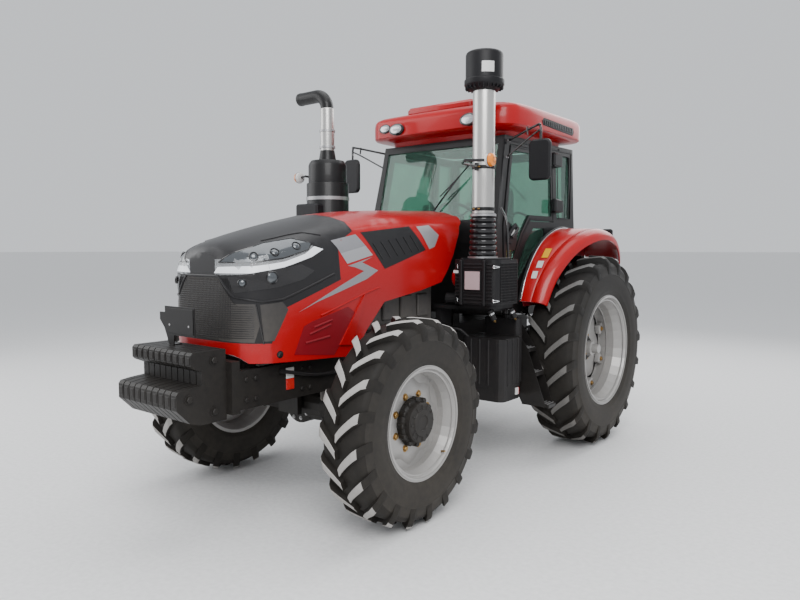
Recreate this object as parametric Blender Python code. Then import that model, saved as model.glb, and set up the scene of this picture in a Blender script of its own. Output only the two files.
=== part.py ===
"""Four-wheel-drive farm tractor with cab, front weights and rear three-point linkage.

Metres, +Z up.  The front faces -Y and the tractor's left side is +X.  The origin is at ground level,
on the centre plane, halfway between the nose of the front weights and the ends of the lower links.
"""
import bmesh
import bpy
from math import atan2, cos, pi, radians, sin
from mathutils import Matrix, Vector

# ---------------------------------------------------------------- driving dimensions
WHEELBASE = 2.55
FRONT_OVERHANG = 1.276
REAR_OVERHANG = 1.05
WHEEL_SEGMENTS = 32
SEAT_GAP = 0.0003
PIN_GAP = 0.0005
SHARP_ANGLE = radians(35)

FRONT_TYRE_R = 0.6675
FRONT_TYRE_W = 0.345
FRONT_RIM_R = 0.3556
FRONT_TYRE_X = 0.9217
REAR_TYRE_R = 0.855
REAR_TYRE_W = 0.446
REAR_RIM_R = 0.4826
REAR_TYRE_X = 1.0265
TYRE_WALL = 0.028

KINGPIN_X = 0.78
STEER_ARM = 0.24
AXLE_BEAM_HALF = 0.075

RAIL_INNER_X = 0.30
RAIL_OUTER_X = 0.36
RAIL_LOW_Z = 0.805
RAIL_TOP_Z = 1.04

ENGINE_HALF_W = 0.27
ENGINE_TOP_Z = 1.60

HOOD_HALF_W = 0.47
HOOD_SKIN = 0.012

CAB_LENGTH = 1.38
CAB_FRONT_X = 0.70
CAB_REAR_X = 0.755
CAB_WALL = 0.05
CAB_LEAN = 0.055
CAB_FLOOR_Z = 1.25
CAB_DECK_Z = 1.50
CAB_HEADER_Z = 2.72
FLOOR_T = 0.04
GLASS_T = 0.006
FRAME_BAR = 0.045

ROOF_HALF_W = 0.80
ROOF_TOP_Z = 3.05
FENDER_SKIN = 0.012
FENDER_WALL_X = 0.768

PIPE_R = 0.0875
PRECLEANER_R = 0.157
PRECLEANER_TOP_Z = 3.29
CANISTER_R = 0.185

LINK_PIVOT_Z = 0.52
LINK_CRANK = 0.36
ARM_PIVOT_Z = 1.16
LINK_X = 0.36
LINK_END_R = 0.050
LINK_END_FACE = 0.018
LINK_END_SEGMENTS = 16

# ---------------------------------------------------------------- reference lines
LENGTH = FRONT_OVERHANG + WHEELBASE + REAR_OVERHANG
FRONT_AXLE_Y = -LENGTH / 2 + FRONT_OVERHANG
REAR_AXLE_Y = FRONT_AXLE_Y + WHEELBASE
# The tyres stand on one flat facet each, so the axle is a little lower than the radius.
FRONT_AXLE_Z = FRONT_TYRE_R * cos(pi / WHEEL_SEGMENTS)
REAR_AXLE_Z = REAR_TYRE_R * cos(pi / WHEEL_SEGMENTS)
CAB_FRONT_Y = REAR_AXLE_Y - 1.05
CAB_REAR_Y = CAB_FRONT_Y + CAB_LENGTH
LINK_PIVOT_Y = REAR_AXLE_Y + 0.12
WEIGHT_BACK_Y = FRONT_AXLE_Y - 0.94


# ---------------------------------------------------------------- materials
def make_material(name, colour, roughness, metallic=0.0, transmission=0.0):
    material = bpy.data.materials.new(name)
    material.use_nodes = True
    shader = material.node_tree.nodes["Principled BSDF"]
    shader.inputs["Base Color"].default_value = (*colour, 1.0)
    shader.inputs["Roughness"].default_value = roughness
    shader.inputs["Metallic"].default_value = metallic
    shader.inputs["Transmission Weight"].default_value = transmission
    material.diffuse_color = (*colour, 1.0)
    return material


def make_materials():
    return {
        "red_paint": make_material("red_paint", (0.62, 0.010, 0.018), 0.28),
        "black_paint": make_material("black_paint", (0.016, 0.017, 0.020), 0.45),
        "cast_black": make_material("cast_black", (0.022, 0.023, 0.026), 0.55),
        "nose_plastic": make_material("nose_plastic", (0.045, 0.046, 0.050), 0.50),
        "engine_grey": make_material("engine_grey", (0.20, 0.21, 0.22), 0.60, 0.3),
        "rubber": make_material("rubber", (0.022, 0.023, 0.026), 0.80),
        "rim_grey": make_material("rim_grey", (0.48, 0.49, 0.48), 0.42),
        "steel": make_material("steel", (0.62, 0.58, 0.53), 0.32, 1.0),
        "glass_green": make_material("glass_green", (0.35, 0.55, 0.46), 0.05, 0.0, 0.9),
        "lamp_clear": make_material("lamp_clear", (0.85, 0.87, 0.90), 0.12),
        "lamp_amber": make_material("lamp_amber", (0.90, 0.32, 0.03), 0.25),
        "seat_cloth": make_material("seat_cloth", (0.035, 0.038, 0.042), 0.85),
        "cab_plastic": make_material("cab_plastic", (0.060, 0.062, 0.066), 0.60),
    }


# ---------------------------------------------------------------- solid builders
def finish_object(name, mesh, material, pivot=(0.0, 0.0, 0.0)):
    """Link a finished solid; a moving piece has its origin on its joint's axis."""
    mesh.name = name
    mesh.materials.clear()
    mesh.materials.append(material)
    mesh.shade_smooth()
    mesh.set_sharp_from_angle(angle=SHARP_ANGLE)
    mesh.transform(Matrix.Translation(-Vector(pivot)))
    part = bpy.data.objects.new(name, mesh)
    part.location = pivot
    bpy.context.scene.collection.objects.link(part)
    return part


def finish_pair(name, mesh, material, pivot=(0.0, 0.0, 0.0)):
    """Link a left-hand solid and its mirror image."""
    other = (-pivot[0], pivot[1], pivot[2])
    finish_object(name.format("right"), mirrored(mesh), material, other)
    finish_object(name.format("left"), mesh, material, pivot)


def mesh_from(verts, faces):
    """A closed mesh with its faces pointing out."""
    shape = bmesh.new()
    corners = [shape.verts.new(v) for v in verts]
    for face in faces:
        shape.faces.new([corners[i] for i in face])
    bmesh.ops.recalc_face_normals(shape, faces=shape.faces)
    mesh = bpy.data.meshes.new("shape")
    shape.to_mesh(mesh)
    shape.free()
    return mesh


def lofted(rings):
    """A solid through rings of equal point count, capped at both ends."""
    count = len(rings[0])
    verts = [point for ring in rings for point in ring]
    faces = []
    for level in range(len(rings) - 1):
        low = level * count
        for i in range(count):
            j = (i + 1) % count
            faces.append((low + i, low + j, low + count + j, low + count + i))
    faces.append(tuple(range(count)))
    faces.append(tuple(range(len(verts) - count, len(verts))))
    return mesh_from(verts, faces)


def prism(outline, axis, low, high):
    """An outline extruded along an axis: (y, z) for X, (x, z) for Y and (x, y) for Z."""
    place = {
        "X": lambda p, q, t: (t, p, q),
        "Y": lambda p, q, t: (p, t, q),
        "Z": lambda p, q, t: (p, q, t),
    }[axis]
    return lofted([[place(p, q, t) for p, q in outline] for t in (low, high)])


def box(x, y, z):
    return prism([(x[0], y[0]), (x[1], y[0]), (x[1], y[1]), (x[0], y[1])], "Z", z[0], z[1])


def rounded_rectangle(p, q, radius, steps=4):
    """Outline points of a rectangle with round corners, anticlockwise from its low corner."""
    corners = [
        (p[0] + radius, q[0] + radius, pi),
        (p[1] - radius, q[0] + radius, 1.5 * pi),
        (p[1] - radius, q[1] - radius, 0.0),
        (p[0] + radius, q[1] - radius, 0.5 * pi),
    ]
    points = []
    for centre_p, centre_q, start in corners:
        for step in range(steps + 1):
            angle = start + 0.5 * pi * step / steps
            points.append((centre_p + radius * cos(angle), centre_q + radius * sin(angle)))
    return points


def turned(profile, centre, axis, segments, closed=False):
    """A profile of (along, radius) turned about an axis; closed profiles make a ring."""
    along, side = {
        "X": (Vector((1, 0, 0)), Vector((0, 1, 0))),
        "Y": (Vector((0, 1, 0)), Vector((0, 0, 1))),
        "Z": (Vector((0, 0, 1)), Vector((1, 0, 0))),
    }[axis]
    other = along.cross(side)
    # Half a step of turn puts a flat facet, not an edge, at the bottom.
    angles = [2 * pi * (k + 0.5) / segments for k in range(segments)]
    rings = []
    for a, r in profile:
        rings.append([Vector(centre) + along * a + (side * cos(t) + other * sin(t)) * r for t in angles])
    if not closed:
        return lofted(rings)
    verts = [point for ring in rings for point in ring]
    faces = []
    for level in range(len(rings)):
        low = level * segments
        high = ((level + 1) % len(rings)) * segments
        for i in range(segments):
            j = (i + 1) % segments
            faces.append((low + i, low + j, high + j, high + i))
    return mesh_from(verts, faces)


def rod(start, end, radius, sides=10, end_radius=None):
    """A straight round bar between two points."""
    start, end = Vector(start), Vector(end)
    along = (end - start).normalized()
    helper = Vector((0, 0, 1)) if abs(along.z) < 0.9 else Vector((1, 0, 0))
    side = along.cross(helper).normalized()
    other = along.cross(side)
    angles = [2 * pi * (k + 0.5) / sides for k in range(sides)]
    tip = radius if end_radius is None else end_radius
    return lofted([
        [start + (side * cos(t) + other * sin(t)) * radius for t in angles],
        [end + (side * cos(t) + other * sin(t)) * tip for t in angles],
    ])


def swept(points, radius, sides=12):
    """A round bar along a line of points, with mitred bends."""
    points = [Vector(p) for p in points]
    ways = []
    for i in range(len(points)):
        before = (points[i] - points[i - 1]).normalized() if i > 0 else None
        after = (points[i + 1] - points[i]).normalized() if i < len(points) - 1 else None
        ways.append((before or after) + (after or before))
    side = ways[0].normalized().cross(Vector((0.31, 0.17, 0.93))).normalized()
    rings = []
    for point, way in zip(points, ways):
        way = way.normalized()
        side = (side - way * side.dot(way)).normalized()
        other = way.cross(side)
        angles = [2 * pi * k / sides for k in range(sides)]
        rings.append([point + (side * cos(t) + other * sin(t)) * radius for t in angles])
    return lofted(rings)


def moved(mesh, matrix):
    mesh.transform(matrix)
    return mesh


def mirrored(mesh):
    copy = mesh.copy()
    copy.transform(Matrix.Scale(-1, 4, Vector((1, 0, 0))))
    copy.flip_normals()
    return copy


def both_sides(*meshes):
    return [side for mesh in meshes for side in (mesh, mirrored(mesh))]


def fused(solids, cuts=()):
    """One mesh: the first solid with the others joined on and the cuts taken out."""
    stand_in = bpy.data.objects.new("stand_in", solids[0])
    bpy.context.scene.collection.objects.link(stand_in)
    helpers = []
    work = [(mesh, "UNION") for mesh in solids[1:]] + [(mesh, "DIFFERENCE") for mesh in cuts]
    for mesh, operation in work:
        helper = bpy.data.objects.new("helper", mesh)
        bpy.context.scene.collection.objects.link(helper)
        helpers.append(helper)
        step = stand_in.modifiers.new(operation.lower(), "BOOLEAN")
        step.operation = operation
        step.solver = "EXACT"
        step.object = helper
    depsgraph = bpy.context.evaluated_depsgraph_get()
    result = bpy.data.meshes.new_from_object(stand_in.evaluated_get(depsgraph))
    for helper in [stand_in] + helpers:
        bpy.data.objects.remove(helper, do_unlink=True)
    return result


def common(first, second):
    """The space that two solids share."""
    stand_in = bpy.data.objects.new("stand_in", first)
    helper = bpy.data.objects.new("helper", second)
    bpy.context.scene.collection.objects.link(stand_in)
    bpy.context.scene.collection.objects.link(helper)
    step = stand_in.modifiers.new("common", "BOOLEAN")
    step.operation = "INTERSECT"
    step.solver = "EXACT"
    step.object = helper
    depsgraph = bpy.context.evaluated_depsgraph_get()
    result = bpy.data.meshes.new_from_object(stand_in.evaluated_get(depsgraph))
    bpy.data.objects.remove(stand_in, do_unlink=True)
    bpy.data.objects.remove(helper, do_unlink=True)
    return result


def inset(outline, distance):
    """The outline moved inwards by a distance; the outline runs anticlockwise."""
    count = len(outline)
    points = []
    for i in range(count):
        a = Vector(outline[i - 1])
        b = Vector(outline[i])
        c = Vector(outline[(i + 1) % count])
        d1 = (b - a).normalized()
        d2 = (c - b).normalized()
        n1 = Vector((-d1.y, d1.x))
        n2 = Vector((-d2.y, d2.x))
        bisector = (n1 + n2).normalized()
        points.append(tuple(b + bisector * (distance / bisector.dot(n1))))
    return points


def pane_and_frame(outline, frame_low, frame_high, glass_low):
    """A flat frame of bars around its pane, in the outline's own plane (p, q) and depth t."""
    opening = inset(outline, FRAME_BAR)
    frame = fused(
        [prism(outline, "Z", frame_low, frame_high)],
        [prism(opening, "Z", frame_low - 0.02, frame_high + 0.02)],
    )
    pane = prism(inset(outline, FRAME_BAR + SEAT_GAP), "Z", glass_low, glass_low + GLASS_T)
    return frame, pane


# ---------------------------------------------------------------- wheels
FLANGE_HALF = 0.43
FLANGE_T = 0.014
FLANGE_LIP = 0.024
RIM_SHEET = 0.010
DISC_T = 0.014


def tyre_profile(radius, width, rim_radius):
    """Closed half-hollow tyre section as (across, radius) about its own middle."""
    half = width / 2
    bead = FLANGE_HALF * width - FLANGE_T - 2 * PIN_GAP
    seat = rim_radius + PIN_GAP
    outer = [
        (-bead, seat), (-bead, seat + FLANGE_LIP + 0.002), (-half, seat + 0.45 * (radius - seat)),
        (-half * 0.92, radius - 0.045), (-half * 0.74, radius),
    ]
    outer = outer + [(-a, r) for a, r in reversed(outer)]
    inner = [
        (bead - TYRE_WALL, seat), (half - TYRE_WALL, seat + 0.42 * (radius - seat)),
        (half * 0.72, radius - TYRE_WALL - 0.05),
    ]
    inner = inner + [(-a, r) for a, r in reversed(inner)]
    return outer + inner


def rim_profile(width, rim_radius, disc_at, bore, well):
    """Closed rim section: flanges, bead seats, well and a wheel disc, about the tyre's middle."""
    flange = FLANGE_HALF * width
    lip = rim_radius + FLANGE_LIP
    bottom = rim_radius - well
    under = bottom - RIM_SHEET
    return [
        (-flange, lip), (-flange + FLANGE_T - 0.002, lip), (-flange + FLANGE_T, rim_radius),
        (-flange * 0.50, rim_radius - 0.004), (-flange * 0.35, bottom), (flange * 0.35, bottom),
        (flange * 0.50, rim_radius - 0.004), (flange - FLANGE_T, rim_radius), (flange - FLANGE_T + 0.002, lip),
        (flange, lip), (flange, rim_radius - RIM_SHEET), (flange * 0.45, under),
        (disc_at + DISC_T, under), (disc_at + DISC_T, bore), (disc_at, bore),
        (disc_at, under), (-flange * 0.45, under), (-flange, rim_radius - RIM_SHEET),
    ]


def build_tyres(paint):
    sizes = {
        "front": (FRONT_TYRE_R, FRONT_TYRE_W, FRONT_RIM_R, FRONT_TYRE_X, FRONT_AXLE_Y, FRONT_AXLE_Z),
        "rear": (REAR_TYRE_R, REAR_TYRE_W, REAR_RIM_R, REAR_TYRE_X, REAR_AXLE_Y, REAR_AXLE_Z),
    }
    for end, (radius, width, rim_radius, x, y, z) in sizes.items():
        tyre = turned(tyre_profile(radius, width, rim_radius), (x, y, z), "X", WHEEL_SEGMENTS, closed=True)
        finish_pair(end + "_tyre_{}", tyre, paint["rubber"], (x, y, z))


HUB_BORE = 0.115
REAR_HUB_BORE = 0.120
FRONT_DISC = 0.010
REAR_DISC = -0.070
KNUCKLE_FACE_X = 0.885
AXLE_END_X = 0.90


def front_hub():
    """Planetary hub: a flange behind the disc and a cover through its bore."""
    face = KNUCKLE_FACE_X + PIN_GAP - FRONT_TYRE_X
    disc = FRONT_DISC
    cover = disc + 0.100
    profile = [
        (face, 0.120), (face + 0.012, 0.175), (disc + 0.004, 0.175), (disc + 0.006, HUB_BORE + 0.004),
        (disc + 0.045, HUB_BORE), (disc + 0.060, 0.100), (cover, 0.085), (cover + 0.012, 0.060),
    ]
    return turned(profile, (FRONT_TYRE_X, FRONT_AXLE_Y, FRONT_AXLE_Z), "X", 16)


def rear_hub():
    """Axle flange behind the disc and the end of the half shaft in its wedge hub."""
    face = AXLE_END_X + PIN_GAP - REAR_TYRE_X
    disc = REAR_DISC
    profile = [
        (face, 0.130), (face + 0.010, 0.195), (disc + 0.004, 0.195), (disc + 0.006, REAR_HUB_BORE + 0.004),
        (disc + 0.050, REAR_HUB_BORE), (disc + 0.052, 0.075), (disc + 0.130, 0.065), (disc + 0.135, 0.045),
        (disc + 0.190, 0.040),
    ]
    return turned(profile, (REAR_TYRE_X, REAR_AXLE_Y, REAR_AXLE_Z), "X", 16)


def build_wheels(paint):
    """Rims with their hubs bolted in."""
    front = turned(rim_profile(FRONT_TYRE_W, FRONT_RIM_R, FRONT_DISC, HUB_BORE, 0.035),
                   (FRONT_TYRE_X, FRONT_AXLE_Y, FRONT_AXLE_Z), "X", WHEEL_SEGMENTS, closed=True)
    rear = turned(rim_profile(REAR_TYRE_W, REAR_RIM_R, REAR_DISC, REAR_HUB_BORE, 0.040),
                  (REAR_TYRE_X, REAR_AXLE_Y, REAR_AXLE_Z), "X", WHEEL_SEGMENTS, closed=True)
    finish_pair("front_wheel_{}", fused([front, front_hub()]), paint["rim_grey"],
                (FRONT_TYRE_X, FRONT_AXLE_Y, FRONT_AXLE_Z))
    finish_pair("rear_wheel_{}", fused([rear, rear_hub()]), paint["rim_grey"],
                (REAR_TYRE_X, REAR_AXLE_Y, REAR_AXLE_Z))


# ---------------------------------------------------------------- front axle and steering
EAR_LOW = 0.115
EAR_T = 0.030
HANGER_NEAR = 0.151
HANGER_FAR = 0.189


def build_front_axle(paint):
    y, z = FRONT_AXLE_Y, FRONT_AXLE_Z
    beam = box((-0.66, 0.66), (y - 0.085, y + 0.085), (z - AXLE_BEAM_HALF, z + AXLE_BEAM_HALF))
    bulge = turned([(-0.19, 0.085), (-0.14, 0.120), (0.0, 0.128), (0.14, 0.120), (0.19, 0.085)],
                   (0.10, y, z), "X", 16)
    trunnion = turned([(-HANGER_NEAR + SEAT_GAP, 0.045), (HANGER_NEAR - SEAT_GAP, 0.045)], (0, y, z), "Y", 16)
    ear_outline = rounded_rectangle((KINGPIN_X - 0.14, KINGPIN_X + 0.06), (y - 0.06, y + 0.06), 0.05)
    reach = EAR_LOW + EAR_T - 0.002
    web = box((0.64, 0.695), (y - 0.058, y + 0.058), (z - reach, z + reach))
    top_ear = prism(ear_outline, "Z", z + EAR_LOW, z + EAR_LOW + EAR_T)
    low_ear = prism(ear_outline, "Z", z - EAR_LOW - EAR_T, z - EAR_LOW)
    axle = fused([beam, bulge, trunnion] + both_sides(web, top_ear, low_ear))
    finish_object("front_axle", axle, paint["cast_black"])


def build_knuckles(paint):
    y, z = FRONT_AXLE_Y, FRONT_AXLE_Z
    reach = EAR_LOW - PIN_GAP
    post = turned([(-reach, 0.050), (-reach + 0.03, 0.062), (reach - 0.03, 0.062), (reach, 0.050)],
                  (KINGPIN_X, y, z), "Z", 16)
    housing = turned([(0.0, 0.085), (0.03, 0.100), (KNUCKLE_FACE_X - KINGPIN_X - 0.01, 0.105)],
                     (KINGPIN_X + 0.01, y, z), "X", 20)
    arm_z = (z - 0.085, z - 0.055)
    arm = box((KINGPIN_X - 0.020, KINGPIN_X + 0.020), (y, y + STEER_ARM), arm_z)
    eye = turned([(-0.018, 0.030), (0.018, 0.030)], (KINGPIN_X, y + STEER_ARM, z - 0.070), "Z", 14)
    knuckle = fused([post, housing, arm, eye])
    finish_pair("knuckle_{}", knuckle, paint["cast_black"], (KINGPIN_X, y, z))


def build_tie_rod(paint):
    """The bar that joins both steering arms, under their eyes."""
    y, z = FRONT_AXLE_Y + STEER_ARM, FRONT_AXLE_Z - 0.115
    bar = turned([(-KINGPIN_X, 0.016), (KINGPIN_X, 0.016)], (0, y, z), "X", 12)
    top = FRONT_AXLE_Z - 0.088 - PIN_GAP
    ball = turned([(z - 0.018, 0.026), (top, 0.026)], (KINGPIN_X, y, 0), "Z", 14)
    finish_object("tie_rod", fused([bar] + both_sides(ball)), paint["cast_black"], (KINGPIN_X, y, z))


# ---------------------------------------------------------------- frame, engine and driveline
NOSE_PLATE_TOP_Z = 1.10


def build_front_frame(paint):
    y = FRONT_AXLE_Y
    front = WEIGHT_BACK_Y + SEAT_GAP
    rail_end = CAB_FRONT_Y - 0.36
    rail = box((RAIL_INNER_X, RAIL_OUTER_X), (front, rail_end), (RAIL_LOW_Z, RAIL_TOP_Z))
    nose_plate = box((-RAIL_OUTER_X + 0.001, RAIL_OUTER_X - 0.001), (front + 0.001, front + 0.06),
                     (RAIL_LOW_Z - 0.02, NOSE_PLATE_TOP_Z))
    pieces = both_sides(rail) + [nose_plate]
    for side in (-1, 1):
        near = y + side * HANGER_NEAR
        far = y + side * HANGER_FAR
        low, high = min(near, far), max(near, far)
        bar = box((-RAIL_INNER_X - 0.01, RAIL_INNER_X + 0.01), (low - 0.001, high + 0.001),
                  (0.812, 0.870 - SEAT_GAP))
        pieces.append(bar)
        pieces.append(box((-0.10, 0.10), (low, high), (FRONT_AXLE_Z - 0.06, 0.85)))
    pieces.append(box((-RAIL_INNER_X - 0.01, RAIL_INNER_X + 0.01), (y - 0.62, y - 0.56), (0.815, 0.862)))
    finish_object("front_frame", fused(pieces), paint["cast_black"])


WEIGHT_TOP_Z = 1.175


def weight_outline():
    """Side outline of one hanging weight plate, from its upper back corner forwards and down."""
    y = FRONT_AXLE_Y
    points = [
        (-0.940, WEIGHT_TOP_Z), (-1.165, WEIGHT_TOP_Z), (-1.180, 1.160), (-1.180, 1.100), (-1.165, 1.084),
        (-1.105, 1.058), (-1.105, 0.982), (-1.200, 0.975), (-1.262, 0.966), (-1.276, 0.948),
        (-1.276, 0.862), (-1.190, 0.775), (-1.120, 0.753), (-0.940, 0.753),
    ]
    return [(y + a, b) for a, b in points]


WEIGHT_COUNT = 10
WEIGHT_PITCH = 0.062
WEIGHT_T = 0.054


def build_front_weights(paint):
    """Ten hanging plates side by side, drawn together on their through bolts."""
    half = WEIGHT_COUNT * WEIGHT_PITCH / 2
    core_half = half - WEIGHT_PITCH / 2
    pieces = [prism(inset(weight_outline(), 0.010), "X", -core_half, core_half)]
    for k in range(WEIGHT_COUNT):
        middle = -half + WEIGHT_PITCH * (k + 0.5)
        pieces.append(prism(weight_outline(), "X", middle - WEIGHT_T / 2, middle + WEIGHT_T / 2))
    finish_object("front_weights", fused(pieces), paint["cast_black"])


def build_plate_bracket(paint):
    """Upright sheet for a number plate, on a foot on top of the weights, clear of the rising hood."""
    y = FRONT_AXLE_Y - 1.044
    low = WEIGHT_TOP_Z + SEAT_GAP
    outline = [
        (-0.112, low), (-0.068, low), (-0.060, 1.237), (0.152, 1.237), (0.152, 1.413), (-0.154, 1.413),
        (-0.154, 1.374), (-0.210, 1.374), (-0.210, 1.327), (-0.163, 1.280),
    ]
    sheet = prism(outline, "Y", y, y + 0.008)
    foot = box((-0.112, -0.068), (y + 0.004, y + 0.060), (low, low + 0.006))
    finish_object("plate_bracket", fused([sheet, foot]), paint["black_paint"])


def build_engine(paint):
    y = FRONT_AXLE_Y
    block = box((-ENGINE_HALF_W, ENGINE_HALF_W), (y - 0.25, CAB_FRONT_Y - 0.35), (0.870, ENGINE_TOP_Z))
    sump = box((-0.20, 0.20), (y + 0.34, CAB_FRONT_Y - 0.45), (0.640, 0.880))
    finish_object("engine_block", fused([block, sump]), paint["engine_grey"])


def build_gearbox(paint):
    start = CAB_FRONT_Y - 0.35 + SEAT_GAP
    end = REAR_AXLE_Y - 0.30
    bell = box((-0.29, 0.29), (start, start + 0.24), (0.620, 1.16))
    case = box((-0.20, 0.20), (start + 0.2, end), (0.600, 1.10))
    finish_object("gearbox", fused([bell, case]), paint["cast_black"])


def build_rear_axle(paint):
    y, z = REAR_AXLE_Y, REAR_AXLE_Z
    outline = rounded_rectangle((y - 0.30 + SEAT_GAP, y + 0.28), (z - 0.27, z + 0.25), 0.04)
    centre = prism(outline, "X", -0.26, 0.26)
    trumpet = turned([(0.20, 0.150), (0.34, 0.135), (0.60, 0.110), (AXLE_END_X - 0.05, 0.105),
                      (AXLE_END_X - 0.03, 0.125), (AXLE_END_X, 0.125)], (0, y, z), "X", 20)
    link_lug = prism([(LINK_PIVOT_Y - 0.05, LINK_PIVOT_Z - 0.05), (LINK_PIVOT_Y + 0.05, LINK_PIVOT_Z - 0.05),
                      (LINK_PIVOT_Y + 0.05, z), (LINK_PIVOT_Y - 0.10, z)], "X", LINK_X - 0.080, LINK_X - 0.030)
    arm_lug = box((0.10, 0.18), (LINK_PIVOT_Y - 0.05, LINK_PIVOT_Y + 0.05),
                  (z + 0.20, ARM_PIVOT_Z - 0.045 - PIN_GAP))
    top_lug = box((0.030, 0.055), (y + 0.26, y + 0.36), (z + 0.02, z + 0.20))
    stay = box((FENDER_WALL_X - 0.06, FENDER_WALL_X - 0.001 - SEAT_GAP), (y - 0.06, y + 0.06),
               (z + 0.06, z + 0.54))
    housing = fused([centre] + both_sides(trumpet, link_lug, arm_lug, top_lug, stay))
    finish_object("rear_axle", housing, paint["cast_black"])


# ---------------------------------------------------------------- rear linkage
def build_hitch(paint):
    y = LINK_PIVOT_Y
    shaft = turned([(-LINK_X - 0.02, 0.045), (LINK_X + 0.02, 0.045)], (0, y, ARM_PIVOT_Z), "X", 16)
    arm = prism([(y - 0.05, ARM_PIVOT_Z - 0.05), (y + LINK_CRANK + 0.03, ARM_PIVOT_Z - 0.03),
                 (y + LINK_CRANK + 0.03, ARM_PIVOT_Z + 0.03), (y, ARM_PIVOT_Z + 0.065)],
                "X", LINK_X - 0.012, LINK_X + 0.012)
    finish_object("lift_arms", fused([shaft] + both_sides(arm)), paint["cast_black"], (0, y, ARM_PIVOT_Z))
    rod_x = LINK_X + 0.012 + PIN_GAP + 0.018
    top = ARM_PIVOT_Z
    low = LINK_PIVOT_Z
    eye_top = turned([(-0.018, 0.032), (0.018, 0.032)], (rod_x, y + LINK_CRANK, top), "X", 12)
    eye_low = turned([(-0.018, 0.032), (0.018, 0.032)], (rod_x, y + LINK_CRANK, low), "X", 12)
    stay = rod((rod_x, y + LINK_CRANK, low), (rod_x, y + LINK_CRANK, top), 0.016, 8)
    sleeve = rod((rod_x, y + LINK_CRANK, low + 0.14), (rod_x, y + LINK_CRANK, low + 0.36), 0.030, 10)
    lift_rod = fused([stay, sleeve, eye_top, eye_low])
    finish_pair("lift_rod_{}", lift_rod, paint["cast_black"], (rod_x, y + LINK_CRANK, top))
    ball_y = LENGTH / 2 - LINK_END_R * cos(pi / LINK_END_SEGMENTS)
    bar = prism([(y - 0.035, low - 0.035), (ball_y, low - 0.030), (ball_y, low + 0.030),
                 (y - 0.035, low + 0.035)], "X", LINK_X - 0.030 + PIN_GAP, LINK_X + 0.012)
    ball = turned([(-0.030, LINK_END_R), (LINK_END_FACE, LINK_END_R)], (LINK_X, ball_y, low), "X",
                  LINK_END_SEGMENTS)
    link = fused([bar, ball])
    finish_pair("lower_link_{}", link, paint["cast_black"], (LINK_X, y, low))


def build_drawbar(paint):
    z = REAR_AXLE_Z - 0.27 - SEAT_GAP
    hanger = box((-0.13, 0.13), (REAR_AXLE_Y + 0.16, REAR_AXLE_Y + 0.26), (z - 0.14, z))
    tongue = box((-0.045, 0.045), (REAR_AXLE_Y - 0.20, REAR_AXLE_Y + 0.62), (z - 0.115, z - 0.080))
    front = box((-0.08, 0.08), (REAR_AXLE_Y - 0.20, REAR_AXLE_Y - 0.12), (z - 0.12, z))
    pin_hole = turned([(-0.1, 0.016), (0.1, 0.016)], (0, REAR_AXLE_Y + 0.56, z - 0.10), "Z", 16)
    finish_object("drawbar", fused([hanger, tongue, front], [pin_hole]), paint["cast_black"])


def build_top_link(paint):
    """Top link hooked up on its bracket, nearly level."""
    start = (0, REAR_AXLE_Y + 0.33, REAR_AXLE_Z + 0.11)
    end = (0, REAR_AXLE_Y + 0.80, REAR_AXLE_Z + 0.17)
    half = 0.030 - PIN_GAP
    body = rod(start, end, 0.026, 12)
    near_eye = turned([(-half, 0.030), (half, 0.030)], start, "X", 14)
    far_eye = turned([(-0.026, 0.038), (0.026, 0.038)], end, "X", 14)
    finish_object("top_link", fused([body, near_eye, far_eye]), paint["cast_black"])


# ---------------------------------------------------------------- hood
def hood_top(y):
    """Height of the hood's centre line."""
    stations = [(-0.875, 1.745), (-0.84, 1.785), (-0.78, 1.815), (-0.50, 1.895), (-0.056, 2.000),
                (0.30, 2.045), (0.68, 2.068), (1.40, 2.092)]
    return read_line(stations, y - FRONT_AXLE_Y)


def hood_half(y):
    stations = [(-0.875, 0.20), (-0.865, 0.26), (-0.84, 0.33), (-0.79, 0.39), (-0.70, 0.435), (-0.58, 0.455),
                (-0.30, HOOD_HALF_W), (1.40, HOOD_HALF_W)]
    return read_line(stations, y - FRONT_AXLE_Y)


def read_line(stations, at):
    """Height read off a line of (place, value) points."""
    if at <= stations[0][0]:
        return stations[0][1]
    for (a, p), (b, q) in zip(stations, stations[1:]):
        if at <= b:
            return p + (q - p) * (at - a) / (b - a)
    return stations[-1][1]


HOOD_BASE_Z = 0.95
SHOULDER_DROP = 0.20
HOOD_REAR_GAP = 0.13


def hood_section(y, shrink=0.0):
    """Half-round section of the hood at one station, wide below and crowned on top."""
    half = hood_half(y) - shrink
    top = hood_top(y) - shrink
    shoulder = top - SHOULDER_DROP
    right = [(half * 0.965, HOOD_BASE_Z - shrink), (half * 0.985, 1.30), (half, 1.56), (half * 0.985, shoulder),
             (half * 0.93, shoulder + 0.085), (half * 0.80, shoulder + 0.140), (half * 0.50, shoulder + 0.178),
             (half * 0.20, top - 0.004)]
    left = [(-a, b) for a, b in reversed(right)]
    return [(a, y, b) for a, b in right + left]


def hood_stations(rear):
    front = FRONT_AXLE_Y
    middle = [front + a for a in (-0.875, -0.865, -0.84, -0.79, -0.70, -0.58, -0.40, -0.20, 0.0, 0.30, 0.65)]
    return [y for y in middle if y < rear - 0.05] + [rear]


def hood_shell(thickness):
    rear = CAB_FRONT_Y - HOOD_REAR_GAP
    outer = lofted([hood_section(y) for y in hood_stations(rear)])
    inner_rings = []
    for y in hood_stations(rear):
        inner_rings.append(hood_section(y, thickness))
    first = FRONT_AXLE_Y - 0.875
    inner_rings[0] = [(a, first + thickness, b) for a, _, b in inner_rings[0]]
    inner_rings[1] = [(a, first + thickness + 0.008, b) for a, _, b in inner_rings[1]]
    last = inner_rings[-1]
    inner_rings.append([(a, rear + 0.05, b) for a, _, b in last])
    return outer, lofted(inner_rings)


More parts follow.
